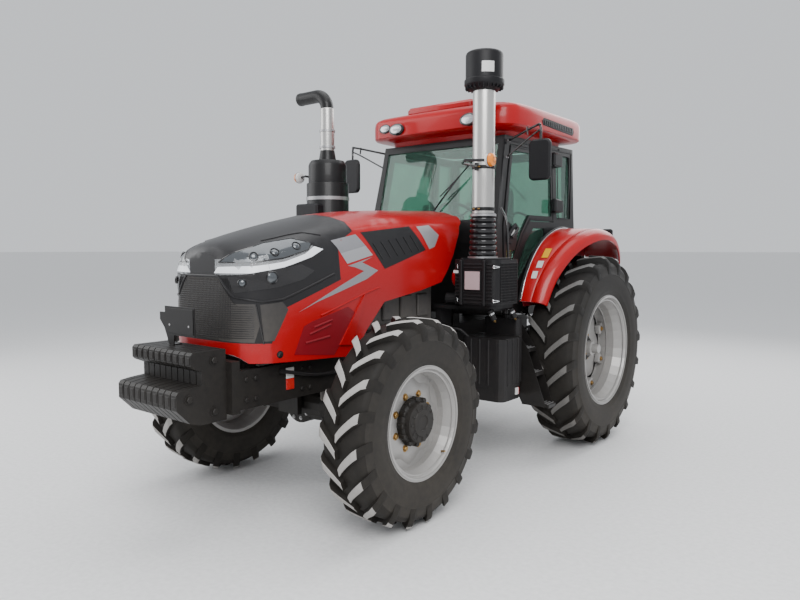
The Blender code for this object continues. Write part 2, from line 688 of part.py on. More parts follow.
def side_outline(points):
    """Points given from the front axle line, as (back from the axle, height)."""
    return [(FRONT_AXLE_Y + a, b) for a, b in points]


def hood_side_outline():
    """Side view of the hood: its lower edge with the wheel arch, and its rear edge."""
    rear = CAB_FRONT_Y - HOOD_REAR_GAP - FRONT_AXLE_Y
    return side_outline([
        (-1.00, 1.150), (-0.860, 1.125), (-0.809, 1.075), (-0.180, 1.045), (0.0, 1.030), (0.149, 1.211),
        (0.322, 1.385), (0.762, 1.448), (rear - 0.35, 1.500), (rear - 0.26, 1.600), (rear - 0.18, 1.720),
        (rear - 0.135, 1.820), (rear - 0.07, 1.950), (rear + 0.01, 2.010), (rear + 0.01, 2.20), (-1.00, 2.20),
    ])


def nose_outline(grow):
    """Side view of the black nose: the mask, the brow and the tip that runs back along the hood."""
    outline = side_outline([
        (-1.00, 1.205), (-0.690, 1.190), (-0.600, 1.400), (-0.130, 1.560), (-0.150, 1.800),
        (0.010, 1.880), (-0.020, 2.20), (-1.00, 2.20),
    ])
    return inset(outline, -grow)


HOOD_HINGE_Z = 1.965
HOOD_HINGE_X = 0.25
HINGE_LUG_T = 0.03


def hood_hinge_y():
    return CAB_FRONT_Y - HOOD_REAR_GAP - 0.04


def headlight_window(grow):
    """The long lamp's outline from the side, cut through the outer part of the nose."""
    band = [(-0.93, 1.600), (-0.66, 1.625), (-0.34, 1.745), (-0.36, 1.785), (-0.62, 1.740), (-0.93, 1.690)]
    return prism(inset(side_outline(band), -grow), "X", 0.13 - grow, HOOD_HALF_W + 0.1)


def build_hood(paint):
    reach = HOOD_HALF_W + 0.1
    outer, inner = hood_shell(HOOD_SKIN)
    shell = fused([outer], [inner])
    trimmed = common(shell, prism(hood_side_outline(), "X", -reach, reach))
    nose_side = prism(nose_outline(0.0), "X", -reach, reach)
    nose = common(trimmed.copy(), nose_side)
    lamp = common(nose.copy(), headlight_window(0.0))
    nose = fused([nose], both_sides(headlight_window(SEAT_GAP)))
    y = hood_hinge_y()
    lug = prism([(y - 0.03, HOOD_HINGE_Z - 0.02), (y + 0.03, HOOD_HINGE_Z - 0.02),
                 (y + 0.03, hood_top(y) - 0.035), (y - 0.06, hood_top(y) - 0.035)],
                "X", HOOD_HINGE_X, HOOD_HINGE_X + HINGE_LUG_T)
    red = fused([trimmed], [prism(nose_outline(SEAT_GAP), "X", -reach, reach)])
    red = fused([red] + both_sides(lug))
    pivot = (0.0, y, HOOD_HINGE_Z)
    finish_object("hood", red, paint["red_paint"], pivot)
    finish_object("hood_nose", nose, paint["nose_plastic"], pivot)
    finish_pair("headlight_{}", lamp, paint["lamp_clear"], pivot)


# ---------------------------------------------------------------- side tanks, filter, stacks
TANK_X = (0.56, 0.95)
TANK_LOW_Z = 0.565
TANK_TOP_Z = 1.06


def build_tanks(paint):
    """Fuel tank on the left and battery box on the right, on brackets from the gearbox."""
    y0, y1 = CAB_FRONT_Y - 0.34, CAB_FRONT_Y - 0.02
    body = prism(rounded_rectangle(TANK_X, (y0, y1), 0.06), "Z", TANK_LOW_Z + 0.10, TANK_TOP_Z)
    tray = prism(rounded_rectangle((TANK_X[0] + 0.004, TANK_X[1] - 0.004), (y0 + 0.004, y1 - 0.004), 0.06),
                 "Z", TANK_LOW_Z, TANK_LOW_Z + 0.11)
    tower = prism(rounded_rectangle((0.60, 0.925), (y1 - 0.04, y1 + 0.05), 0.03), "Z",
                  TANK_LOW_Z + 0.12, 1.20)
    neck = turned([(1.18, 0.035), (1.235, 0.035)], (0.80, y1 + 0.005, 0), "Z", 14)
    bearer = box((0.29 + SEAT_GAP, TANK_X[0] + 0.05), (y0 + 0.13, y0 + 0.21), (0.80, 0.88))
    finish_object("fuel_tank", fused([body, tray, tower, neck, bearer]), paint["cab_plastic"])
    lid = prism(rounded_rectangle((TANK_X[0] - 0.005, TANK_X[1] + 0.005), (y0 - 0.005, y1 + 0.005), 0.03),
                "Z", TANK_TOP_Z - 0.06, TANK_TOP_Z - 0.02)
    case = prism(rounded_rectangle(TANK_X, (y0, y1), 0.03), "Z", TANK_LOW_Z + 0.02, TANK_TOP_Z - 0.04)
    finish_object("battery_box", mirrored(fused([case, lid, bearer])), paint["cab_plastic"])


AIR_BOX_X = (0.53, 0.94)
AIR_BOX_Z = (1.30, 1.68)


def build_air_box(paint):
    y0, y1 = CAB_FRONT_Y - 0.43, CAB_FRONT_Y - 0.05
    outline = rounded_rectangle(AIR_BOX_X, (y0, y1), 0.07)
    case = prism(outline, "Z", AIR_BOX_Z[0] + 0.03, AIR_BOX_Z[1])
    foot = prism(rounded_rectangle((AIR_BOX_X[0] + 0.03, AIR_BOX_X[1] - 0.03), (y0 + 0.03, y1 - 0.03), 0.05),
                 "Z", AIR_BOX_Z[0], AIR_BOX_Z[0] + 0.04)
    duct = rod((AIR_BOX_X[0] + 0.03, y0 + 0.17, 1.36), (0.40, y0 + 0.12, 1.36), 0.045, 12)
    shelf = box((0.29 + SEAT_GAP, AIR_BOX_X[1] - 0.08), (y0 + 0.10, y0 + 0.30),
                (AIR_BOX_Z[0] - 0.025, AIR_BOX_Z[0] + 0.005))
    post = box((0.29 + SEAT_GAP, 0.34), (y0 + 0.12, y0 + 0.28), (1.00, AIR_BOX_Z[0]))
    finish_object("air_filter", fused([case, foot, duct, shelf, post]), paint["black_paint"])


HOSE_TOP_Z = 2.04
PIPE_TOP_Z = 2.99
STACK_X = 0.70


def build_intake(paint):
    """Air intake: a corrugated hose up from the filter, a plain pipe and the precleaner on top."""
    x, y = STACK_X, CAB_FRONT_Y - 0.24
    low = AIR_BOX_Z[1] + SEAT_GAP
    profile = [(low, 0.115), (low + 0.03, 0.115), (low + 0.05, 0.105), (HOSE_TOP_Z - 0.05, 0.100),
               (HOSE_TOP_Z, 0.095), (HOSE_TOP_Z + 0.002, PIPE_R), (PIPE_TOP_Z, PIPE_R)]
    pipe = turned(profile, (x, y, 0), "Z", 24)
    finish_object("intake_pipe", pipe, paint["steel"])
    low = PIPE_TOP_Z + SEAT_GAP
    drum_r = PRECLEANER_R - 0.010
    profile = [(low, 0.110), (low + 0.030, 0.138), (low + 0.045, PRECLEANER_R), (low + 0.085, PRECLEANER_R),
               (low + 0.090, drum_r), (PRECLEANER_TOP_Z - 0.022, drum_r),
               (PRECLEANER_TOP_Z - 0.006, drum_r - 0.006), (PRECLEANER_TOP_Z, drum_r - 0.018)]
    cap = turned(profile, (x, y, 0), "Z", 28)
    finish_object("precleaner", cap, paint["cab_plastic"])


def elbow_points(x, y, low, bend_z, radius, reach):
    """A stack that rises and turns outwards to the right in a quarter round."""
    points = [(x, y, low), (x, y, bend_z)]
    for step in range(1, 7):
        angle = 0.5 * pi * step / 6
        points.append((x - radius * (1 - cos(angle)), y, bend_z + radius * sin(angle)))
    points.append((x - reach, y, bend_z + radius))
    return points


def build_exhaust(paint):
    x, y = -0.70, CAB_FRONT_Y - 0.57
    low = 1.40
    can = turned([(low, 0.12), (low + 0.05, CANISTER_R), (2.33, CANISTER_R), (2.34, 0.168), (2.49, 0.168),
                  (2.53, 0.145), (2.54, 0.075), (2.62, 0.062)], (x, y, 0), "Z", 24)
    drawer = box((x - 0.17, x + 0.10), (y - 0.235, y - 0.10), (1.70, 2.15))
    shelf = box((x - 0.10, -0.29 - SEAT_GAP), (y - 0.08, y + 0.08), (low - 0.03, low + 0.02))
    post = box((-0.345, -0.29 - SEAT_GAP), (CAB_FRONT_Y - 0.34, CAB_FRONT_Y - 0.20), (1.00, low))
    brace = box((-0.345, -0.30), (y - 0.07, CAB_FRONT_Y - 0.21), (low - 0.03, low + 0.019))
    finish_object("exhaust_canister", fused([can, drawer, shelf, post, brace]), paint["black_paint"])
    stack = swept(elbow_points(x, y, 2.62 + SEAT_GAP, 2.98, 0.125, 0.34), 0.056, 16)
    slant = Matrix.Translation((x - 0.34, y, 3.11)) @ Matrix.Rotation(radians(30), 4, "Y")
    cutter = moved(box((-0.4, 0.0), (-0.3, 0.3), (-0.3, 0.3)), slant)
    collar = turned([(2.62 + 2 * SEAT_GAP, 0.060), (2.80, 0.064)], (x, y, 0), "Z", 20)
    finish_object("exhaust_stack", fused([stack, collar], [cutter]), paint["black_paint"])


def build_turn_lamps(paint):
    """Turn lamps on bent rods, one clamped to each stack."""
    lamp_x, lamp_y, lamp_z = 1.00, FRONT_AXLE_Y + 0.87, 2.40
    stack_y = CAB_FRONT_Y - 0.24
    body = turned([(-0.030, 0.028), (-0.022, 0.043), (0.0, 0.048), (0.022, 0.043), (0.034, 0.020)],
                  (lamp_x, lamp_y, lamp_z), "X", 14)
    stalk = swept([(lamp_x - 0.02, lamp_y, lamp_z), (0.80, lamp_y - 0.03, lamp_z + 0.01),
                   (0.72, lamp_y + 0.06, lamp_z + 0.005), (0.70, stack_y - PIPE_R - 0.010, lamp_z)], 0.011, 8)
    seat_y = stack_y - PIPE_R * cos(pi / 24) - SEAT_GAP
    clamp = box((0.690, 0.710), (seat_y - 0.03, seat_y), (lamp_z - 0.03, lamp_z + 0.03))
    finish_object("turn_lamp_left", fused([body, stalk, clamp]), paint["lamp_amber"])
    can_y = CAB_FRONT_Y - 0.57
    body = turned([(-0.034, 0.020), (-0.022, 0.043), (0.0, 0.048), (0.022, 0.043), (0.030, 0.028)],
                  (-lamp_x, lamp_y, lamp_z), "X", 14)
    edge = -0.70 - 0.168 * cos(pi / 24)
    stalk = swept([(-lamp_x + 0.02, lamp_y, lamp_z), (-0.92, lamp_y, lamp_z + 0.01),
                   (edge - 0.010, can_y, lamp_z)], 0.011, 8)
    pad = box((edge - SEAT_GAP - 0.02, edge - SEAT_GAP), (can_y - 0.018, can_y + 0.018),
              (lamp_z - 0.03, lamp_z + 0.03))
    finish_object("turn_lamp_right", fused([body, stalk, pad]), paint["lamp_amber"])


# ---------------------------------------------------------------- fenders and steps
def fender_stations():
    """(angle ahead of the vertical, top radius, outer x) of the wheel cover."""
    grow = REAR_TYRE_R - 0.855
    rows = [(60, 0.925, 1.00), (52, 0.955, 1.015), (44, 0.985, 1.035), (34, 1.020, 1.070), (24, 1.050, 1.110),
            (14, 1.070, 1.150), (4, 1.082, 1.180), (-6, 1.080, 1.190), (-16, 1.060, 1.185), (-25, 1.020, 1.165),
            (-32, 0.975, 1.140)]
    return [(angle, radius + grow, x) for angle, radius, x in rows]


def fender_section(angle, radius, outer_x):
    """A band with a rounded outer edge and a turned-down lip."""
    skin = FENDER_SKIN
    inner_x = FENDER_WALL_X
    lip = 0.045 + 0.045 * max(0.0, cos(radians(angle * 1.2)))
    top = [(inner_x, radius + 0.018), (outer_x - 0.10, radius + 0.010), (outer_x - 0.035, radius - 0.010),
           (outer_x - 0.006, radius - 0.040), (outer_x, radius - lip)]
    under = [(outer_x - skin, radius - lip), (outer_x - 0.006 - skin, radius - 0.042),
             (outer_x - 0.045, radius - 0.010 - skin), (outer_x - 0.10, radius + 0.010 - skin),
             (inner_x, radius + 0.018 - skin)]
    t = radians(angle)
    y, z = REAR_AXLE_Y, REAR_AXLE_Z
    return [(x, y - r * sin(t), z + r * cos(t)) for x, r in top + under]


def build_fenders(paint):
    stations = fender_stations()
    band = lofted([fender_section(*row) for row in stations])
    rim = [(REAR_AXLE_Y - (r + 0.012) * sin(radians(a)), REAR_AXLE_Z + (r + 0.012) * cos(radians(a)))
           for a, r, _ in stations]
    low = REAR_AXLE_Z + 0.42
    inside = rim[1:-1]
    outline = [(inside[0][0] + 0.05, low)] + inside + [(REAR_AXLE_Y + 0.45, low + 0.30), (REAR_AXLE_Y + 0.30, low)]
    wall = prism(outline, "X", FENDER_WALL_X - 0.001, FENDER_WALL_X + FENDER_SKIN)
    y, z = REAR_AXLE_Y, REAR_AXLE_Z
    lamp = box((1.02, 1.12), (y + 0.30, y + 0.36), (z + 1.0, z + 1.10))
    fender = fused([band, wall, lamp])
    finish_pair("fender_{}", fender, paint["red_paint"])


STEP_RISE = [(0.50, 1.15), (0.75, 1.04), (0.94, 0.97)]
STEP_DEPTH = 0.13


def build_steps(paint):
    """Three treads between two stringers, hung from the cab floor beside the tank."""
    y0 = CAB_FRONT_Y + 0.045
    y1 = y0 + STEP_DEPTH
    pieces = []
    for height, outer in STEP_RISE:
        pieces.append(box((outer - 0.24, outer), (y0, y1), (height - 0.012, height + 0.012)))
    for y in (y0 - 0.006, y1 - 0.002):
        hang_z = CAB_FLOOR_Z - FLOOR_T - SEAT_GAP
        outline = [(0.92, 0.49), (1.13, 0.49), (1.03, 0.76), (0.96, 0.95), (0.78, hang_z), (0.655, hang_z),
                   (0.72, 0.95), (0.80, 0.70)]
        pieces.append(prism(outline, "Y", y, y + 0.008))
    steps = fused(pieces)
    finish_pair("steps_{}", steps, paint["black_paint"])


# ---------------------------------------------------------------- cab
def side_plane():
    """Frame of the cab's left side: p runs back, q runs up and t points out."""
    foot = Vector((CAB_FRONT_X, CAB_FRONT_Y, CAB_FLOOR_Z))
    back = Vector((CAB_REAR_X - CAB_FRONT_X, CAB_LENGTH, 0)).normalized()
    height = CAB_HEADER_Z - CAB_FLOOR_Z
    up = Vector((-CAB_LEAN, 0, height)).normalized()
    out = back.cross(up).normalized()
    up = out.cross(back).normalized()
    matrix = Matrix((back, up, out)).transposed().to_4x4()
    matrix.translation = foot
    return matrix


SIDE_TOP = CAB_HEADER_Z - CAB_FLOOR_Z
SIDE_KNEE = 0.72
FRONT_POST_LEAN = 0.165
DOOR_HINGE_P = 0.985
DOOR_HINGE_T = 0.026
DOOR_HINGE_Q = (0.88, 1.30)
DOOR_KNUCKLE_H = 0.05
DOOR_T = 0.035
DOOR_OUT = 0.004
DOOR_GAP = 0.006


def header_z():
    """Top of the cab's walls, where the roof rests."""
    return (side_plane() @ Vector((0.0, SIDE_TOP, 0.0))).z


def hinge_barrel(low, high, radius):
    """Round barrel on the door's hinge line, in the side plane."""
    angles = [2 * pi * k / 10 for k in range(10)]
    ring = [(DOOR_HINGE_P + radius * cos(a), DOOR_HINGE_T + radius * sin(a)) for a in angles]
    return lofted([[(p, q, t) for p, t in ring] for q in (low, high)])


def hinge_posts():
    """Hinge blocks on the rear door post, one lug above and one below each door knuckle."""
    blocks = []
    for q in DOOR_HINGE_Q:
        low = q - 0.028
        high = q + DOOR_KNUCKLE_H + 0.028
        spans = ((low + 0.001, q - PIN_GAP), (q + DOOR_KNUCKLE_H + PIN_GAP, high - 0.001))
        block = box((DOOR_HINGE_P + 0.024, DOOR_HINGE_P + 0.085), (low, high), (-0.01, 0.052))
        lugs = [hinge_barrel(a, b, 0.018) for a, b in spans]
        webs = [box((DOOR_HINGE_P, DOOR_HINGE_P + 0.04), (a + 0.001, b), (0.012, 0.040)) for a, b in spans]
        blocks.append(moved(fused([block] + lugs + webs), side_plane()))
    return blocks


def door_outline():
    """The door in the side plane: wide above the fender, with a narrow tail down to the floor."""
    back, top = DOOR_HINGE_P - 0.012, SIDE_TOP - 0.075
    return [
        (0.10, 0.14), (0.205, 0.14), (0.235, 0.30), (0.315, 0.45), (0.42, 0.62), (0.55, 0.765),
        (back, 0.765), (back, top), (0.245, top), (0.10, 0.70),
    ]


def quarter_outline():
    """Fixed glass behind the door."""
    return [(DOOR_HINGE_P + 0.055, 0.80), (CAB_LENGTH - 0.075, 0.80), (CAB_LENGTH - 0.090, SIDE_TOP - 0.075),
            (DOOR_HINGE_P + 0.055, SIDE_TOP - 0.075)]


def lower_outline():
    """Fixed glass between the door's tail and the fender."""
    return [(0.285, 0.21), (0.385, 0.29), (0.56, 0.47), (0.80, 0.625), (0.80, 0.700), (0.605, 0.700),
            (0.475, 0.575), (0.375, 0.425), (0.285, 0.27)]


def side_wall():
    outline = [(-0.02, -0.02), (0.46, -0.02), (0.46, 0.22), (CAB_LENGTH, 0.22), (CAB_LENGTH, SIDE_KNEE),
               (CAB_LENGTH - 0.02, SIDE_TOP), (FRONT_POST_LEAN, SIDE_TOP), (0.0, SIDE_KNEE)]
    door_hole = inset(door_outline(), -DOOR_GAP)
    quarter_hole = quarter_outline()
    lower_hole = lower_outline()
    wall = fused(
        [prism(outline, "Z", -CAB_WALL, 0.0)],
        [prism(hole, "Z", -CAB_WALL - 0.05, 0.05) for hole in (door_hole, quarter_hole, lower_hole)],
    )
    return moved(wall, side_plane())


def front_plane():
    """Frame of the windscreen: p runs to the left, q runs up the leaning posts, t points back."""
    lean = atan2(FRONT_POST_LEAN, SIDE_TOP - SIDE_KNEE)
    matrix = Matrix.Rotation(radians(90) - lean, 4, "X")
    matrix.translation = Vector((0, CAB_FRONT_Y, CAB_FLOOR_Z + SIDE_KNEE))
    return matrix


def windscreen_outline():
    return [(-0.62, -0.12), (-0.50, -0.12), (-0.47, 0.04), (0.47, 0.04), (0.50, -0.12), (0.62, -0.12),
            (0.60, 0.70), (-0.60, 0.70)]


def build_cab(paint):
    walls = both_sides(side_wall())
    plane = front_plane()
    top_x = CAB_FRONT_X - CAB_LEAN
    front_face = [(-CAB_FRONT_X + 0.012, -0.20), (CAB_FRONT_X - 0.012, -0.20), (CAB_FRONT_X - 0.012, 0.0),
                  (top_x - 0.003, 0.765), (-top_x + 0.003, 0.765), (-CAB_FRONT_X + 0.012, 0.0)]
    front = moved(fused([prism(front_face, "Z", -0.045, 0.0)],
                        [prism(windscreen_outline(), "Z", -0.1, 0.1)]), plane)
    cowl_y = CAB_FRONT_Y - 0.045
    cowl = box((-CAB_FRONT_X + 0.005, CAB_FRONT_X - 0.005), (cowl_y, cowl_y + 0.04),
               (CAB_FLOOR_Z - 0.02, CAB_FLOOR_Z + 0.565))
    deck_y = CAB_FRONT_Y + 0.50
    floor_outline = [
        (cowl_y + 0.002, CAB_FLOOR_Z - FLOOR_T), (deck_y, CAB_FLOOR_Z - FLOOR_T), (deck_y, CAB_DECK_Z - FLOOR_T),
        (CAB_REAR_Y - 0.002, CAB_DECK_Z - FLOOR_T), (CAB_REAR_Y - 0.002, CAB_DECK_Z), (deck_y - FLOOR_T, CAB_DECK_Z),
        (deck_y - FLOOR_T, CAB_FLOOR_Z), (cowl_y + 0.002, CAB_FLOOR_Z),
    ]
    floor = prism(floor_outline, "X", -CAB_FRONT_X + 0.02, CAB_FRONT_X - 0.02)
    low = CAB_DECK_Z - FLOOR_T + 0.002
    top = header_z()
    rear_face = [(-CAB_REAR_X + 0.012, low), (CAB_REAR_X - 0.012, low),
                 (CAB_REAR_X - CAB_LEAN, top), (-CAB_REAR_X + CAB_LEAN, top)]
    rear = fused([prism(rear_face, "Y", CAB_REAR_Y - CAB_WALL, CAB_REAR_Y)],
                 [prism(rear_window_outline(), "Y", CAB_REAR_Y - 0.2, CAB_REAR_Y + 0.2)])
    hinge_y = hood_hinge_y()
    hinge = box((HOOD_HINGE_X - HINGE_LUG_T, HOOD_HINGE_X - PIN_GAP), (hinge_y - 0.03, CAB_FRONT_Y + 0.02),
                (HOOD_HINGE_Z - 0.02, HOOD_HINGE_Z + 0.02))
    mounts = [box((0.10, 0.26), (REAR_AXLE_Y - 0.14, REAR_AXLE_Y + 0.02),
                  (REAR_AXLE_Z + 0.25 + SEAT_GAP, CAB_DECK_Z - FLOOR_T + 0.01)),
              box((0.10, 0.28), (CAB_FRONT_Y - 0.040, CAB_FRONT_Y + 0.06), (1.10 + SEAT_GAP, CAB_FLOOR_Z - 0.03))]
    cab = fused([floor] + walls + [front, cowl, rear] + both_sides(hinge, *mounts, *hinge_posts()))
    finish_object("cab_frame", cab, paint["black_paint"])


def rear_window_outline():
    return [(-0.62, 1.95), (0.62, 1.95), (0.60, 2.64), (-0.60, 2.64)]


def build_cab_glass(paint):
    glass = paint["glass_green"]
    pane = prism(inset(windscreen_outline(), SEAT_GAP), "Z", -0.020, -0.020 + GLASS_T)
    finish_object("windscreen", moved(pane, front_plane()), glass)
    rear = CAB_REAR_Y - 0.020
    pane = prism(inset(rear_window_outline(), SEAT_GAP), "Y", rear, rear + GLASS_T)
    finish_object("rear_window", pane, glass)
    for name, outline in (("quarter_glass", quarter_outline()), ("lower_glass", lower_outline())):
        pane = moved(prism(inset(outline, SEAT_GAP), "Z", -0.020, -0.020 + GLASS_T), side_plane())
        finish_pair(name + "_{}", pane, glass)


def build_doors(paint):
    """Rear-hinged doors: a thin frame with its pane, and two hinge blocks on the post."""
    frame, pane = pane_and_frame(door_outline(), DOOR_OUT - DOOR_T, DOOR_OUT, DOOR_OUT - 0.020)
    knuckles = []
    for q in DOOR_HINGE_Q:
        knuckles.append(box((DOOR_HINGE_P - 0.055, DOOR_HINGE_P), (q, q + DOOR_KNUCKLE_H), (0.0035, 0.040)))
        knuckles.append(hinge_barrel(q, q + DOOR_KNUCKLE_H, 0.020))
    handle = box((0.17, 0.27), (0.60, 0.625), (0.0, 0.035))
    plate = prism([(0.12, 0.50), (0.28, 0.50), (0.33, 0.60), (0.20, 0.74), (0.13, 0.74)],
                  "Z", DOOR_OUT - 0.010, DOOR_OUT - 0.001)
    frame = fused([frame, plate, handle] + knuckles)
    plane = side_plane()
    moved(frame, plane)
    moved(pane, plane)
    hinge = tuple(plane @ Vector((DOOR_HINGE_P, 1.0, DOOR_HINGE_T)))
    finish_pair("door_{}", frame, paint["black_paint"], hinge)
    finish_pair("door_{}_glass", pane, paint["glass_green"], hinge)


def roof_ring(z, shrink, radius):
    """Plan outline of the roof at one height: straight sides, round corners, a bowed front."""
    x1 = ROOF_HALF_W - shrink
    y0 = CAB_FRONT_Y + 0.045 + shrink
    y1 = CAB_REAR_Y + 0.06 - shrink
    points = rounded_rectangle((-x1, x1), (y0, y1), radius, 5)
    ring = []
    for x, y in points:
        ahead = max(0.0, (CAB_FRONT_Y + 0.40 - y) / 0.40)
        ring.append((x * (1 - 0.06 * ahead), y - 0.035 * ahead * (1 - (x / x1) ** 2), z))
    return ring


def build_roof(paint):
    base = header_z() + SEAT_GAP
    rise = ROOF_TOP_Z - base
    rings = [roof_ring(base, 0.10, 0.14), roof_ring(base + 0.05, 0.03, 0.16), roof_ring(base + 0.10, 0.0, 0.18),
             roof_ring(base + 0.62 * rise, 0.012, 0.18), roof_ring(base + 0.82 * rise, 0.07, 0.18),
             roof_ring(base + 0.95 * rise, 0.20, 0.18), roof_ring(ROOF_TOP_Z, 0.36, 0.16)]
    inner = [roof_ring(base - 0.01, 0.205, 0.10), roof_ring(base + 0.10, 0.180, 0.10),
             roof_ring(base + 0.72 * rise, 0.200, 0.12), roof_ring(ROOF_TOP_Z - 0.05, 0.40, 0.10)]
    finish_object("roof", fused([lofted(rings)], [lofted(inner)]), paint["red_paint"])


def front_post_spot(up):
    """Middle of the front post's outer face in the side plane, a height above the posts' knee."""
    return FRONT_POST_LEAN * up / (SIDE_TOP - SIDE_KNEE) + 0.045, SIDE_KNEE + up


def build_mirrors(paint):
    """Mirrors on two-bar arms, bolted to the front posts through small pads."""
    y = CAB_FRONT_Y + 0.10
    x = 1.02
    roots = [front_post_spot(0.70), front_post_spot(0.56)]
    pads = []
    for p, q in roots:
        pads.append(moved(box((p - 0.02, p + 0.02), (q - 0.02, q + 0.02), (SEAT_GAP, 0.016)), side_plane()))
    high, low = [side_plane() @ Vector((p, q, 0.012)) for p, q in roots]
    arm = swept([high, (x - 0.05, y, 2.745), (x - 0.005, y, 2.735), (x, y, 2.60)], 0.010, 8)
    brace = swept([low, (x - 0.03, y, 2.70), (x - 0.008, y, 2.66)], 0.007, 6)
    shell = prism(rounded_rectangle((x - 0.095, x + 0.095), (2.31, 2.635), 0.045), "Y", y - 0.030, y + 0.020)
    mirror = fused([shell, arm, brace] + pads)
    finish_pair("mirror_{}", mirror, paint["cab_plastic"])


# ---------------------------------------------------------------- cab inside
STEER_CENTRE = (0.0, 0.46, 2.06)


def steering_matrix():
    tilt = Matrix.Rotation(radians(-38), 4, "X")
    tilt.translation = Vector((STEER_CENTRE[0], CAB_FRONT_Y + STEER_CENTRE[1], STEER_CENTRE[2]))
    return tilt


def build_console(paint):
    floor = CAB_FLOOR_Z + SEAT_GAP
    y = CAB_FRONT_Y
    tower = prism([(y + 0.06, floor), (y + 0.30, floor), (y + 0.30, 1.72), (y + 0.34, 1.86),
                   (y + 0.20, 2.00), (y + 0.10, 1.98)], "X", -0.16, 0.16)
    matrix = steering_matrix()
    column = moved(turned([(-0.34, 0.045), (-0.06, 0.035)], (0, 0, 0), "Z", 14), matrix)
    finish_object("console", fused([tower, column]), paint["cab_plastic"])
    ring = turned(ring_profile(0.195, 0.014), (0, 0, 0), "Z", 24, closed=True)
    hub = turned([(-0.06 + PIN_GAP, 0.034), (-0.02, 0.050), (0.012, 0.045)], (0, 0, 0), "Z", 16)
    spokes = [rod((0.03 * cos(a), 0.03 * sin(a), -0.008), (0.195 * cos(a), 0.195 * sin(a), 0.0), 0.009, 6)
              for a in (pi / 2, pi / 2 + 2 * pi / 3, pi / 2 + 4 * pi / 3)]
    wheel = moved(fused([ring, hub] + spokes), matrix)
    finish_object("steering_wheel", wheel, paint["cab_plastic"], tuple(matrix.translation))


def ring_profile(radius, tube):
    """Round section of a ring as (along, radius)."""
    return [(tube * sin(2 * pi * k / 6), radius + tube * cos(2 * pi * k / 6)) for k in range(6)]


def build_seat(paint):
    deck = CAB_DECK_Z + SEAT_GAP
    y = CAB_FRONT_Y + 0.86
    foot = box((-0.20, 0.20), (y - 0.20, y + 0.20), (deck, deck + 0.05))
    bellows = box((-0.16, 0.16), (y - 0.16, y + 0.16), (deck + 0.04, deck + 0.22))
    pan = box((-0.23, 0.23), (y - 0.22, y + 0.22), (deck + 0.21, deck + 0.24))
    top = deck + 0.235
    cushion = prism(rounded_rectangle((-0.25, 0.25), (y - 0.25, y + 0.25), 0.06), "Z", top, top + 0.12)
    back_shape = rounded_rectangle((-0.235, 0.235), (top + 0.05, top + 0.66), 0.07)
    back = prism(back_shape, "Y", y + 0.16, y + 0.27)
    rest = box((0.235, 0.30), (y - 0.12, y + 0.20), (top + 0.22, top + 0.27))
    stay = box((0.225, 0.27), (y + 0.17, y + 0.23), (top + 0.10, top + 0.26))
    pieces = [foot, bellows, pan, cushion, back] + both_sides(rest, stay)
    finish_object("seat", fused(pieces), paint["seat_cloth"])


def build_all():
    for leftover in list(bpy.data.objects):
        bpy.data.objects.remove(leftover, do_unlink=True)
    paint = make_materials()
    builders = [
        build_front_frame, build_front_weights, build_plate_bracket, build_engine, build_gearbox,
        build_rear_axle, build_front_axle, build_knuckles, build_tie_rod, build_tyres, build_wheels,
        build_hitch, build_drawbar, build_top_link, build_hood, build_tanks, build_air_box, build_intake,
        build_exhaust, build_turn_lamps, build_fenders, build_steps, build_cab, build_cab_glass, build_doors,
        build_roof, build_mirrors, build_console, build_seat,
    ]
    for build in builders:
        build(paint)


build_all()
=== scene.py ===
"""Looks of the farm tractor: materials, tread, lamps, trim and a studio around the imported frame."""
from math import atan2, cos, pi, radians, sin

import bmesh
import bpy
from mathutils import Matrix, Vector
from mathutils.bvhtree import BVHTree
from mathutils.geometry import delaunay_2d_cdt


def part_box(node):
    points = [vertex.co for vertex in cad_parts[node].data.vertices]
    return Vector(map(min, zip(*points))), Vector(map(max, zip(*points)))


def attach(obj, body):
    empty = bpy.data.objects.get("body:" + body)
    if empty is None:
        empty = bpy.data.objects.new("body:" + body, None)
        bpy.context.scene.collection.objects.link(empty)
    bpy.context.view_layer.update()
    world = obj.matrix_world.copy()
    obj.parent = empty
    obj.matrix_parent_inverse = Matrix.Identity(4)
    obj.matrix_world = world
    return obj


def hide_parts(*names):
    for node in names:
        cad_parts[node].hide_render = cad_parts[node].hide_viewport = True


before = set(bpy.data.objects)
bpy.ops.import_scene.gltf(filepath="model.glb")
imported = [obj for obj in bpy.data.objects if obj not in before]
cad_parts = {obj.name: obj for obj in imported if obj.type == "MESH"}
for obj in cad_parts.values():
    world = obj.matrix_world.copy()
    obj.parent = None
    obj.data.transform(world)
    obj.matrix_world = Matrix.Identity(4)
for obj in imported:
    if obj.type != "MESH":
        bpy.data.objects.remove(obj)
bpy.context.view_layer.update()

FRONT_AXLE = (-1.162, .664)
REAR_AXLE = (1.388, .851)
FRONT_TYRE = {"axle": FRONT_AXLE, "radius": .664, "width": .345, "rim": .3556, "x": .9217, "lug": .038,
              "depth": .215}
REAR_TYRE = {"axle": REAR_AXLE, "radius": .851, "width": .446, "rim": .4826, "x": 1.0265, "lug": .045,
             "depth": .275}
LUGS_PER_SIDE = 20
CAB_FRONT = .338
CAB_REAR = 1.718
STACK = (.7, CAB_FRONT - .24)
CANISTER = (-.7, CAB_FRONT - .57)
AXES = {"X": (1, 2, 0), "Y": (0, 2, 1), "Z": (0, 1, 2)}


# Materials ---------------------------------------------------------------------------------------

def socket(group, name, kind, into, value=None):
    item = group.interface.new_socket(name=name, in_out=into, socket_type=kind)
    if value is not None:
        item.default_value = value
    return item


def set_inputs(node, values):
    for name, value in values.items():
        node.inputs[name].default_value = value


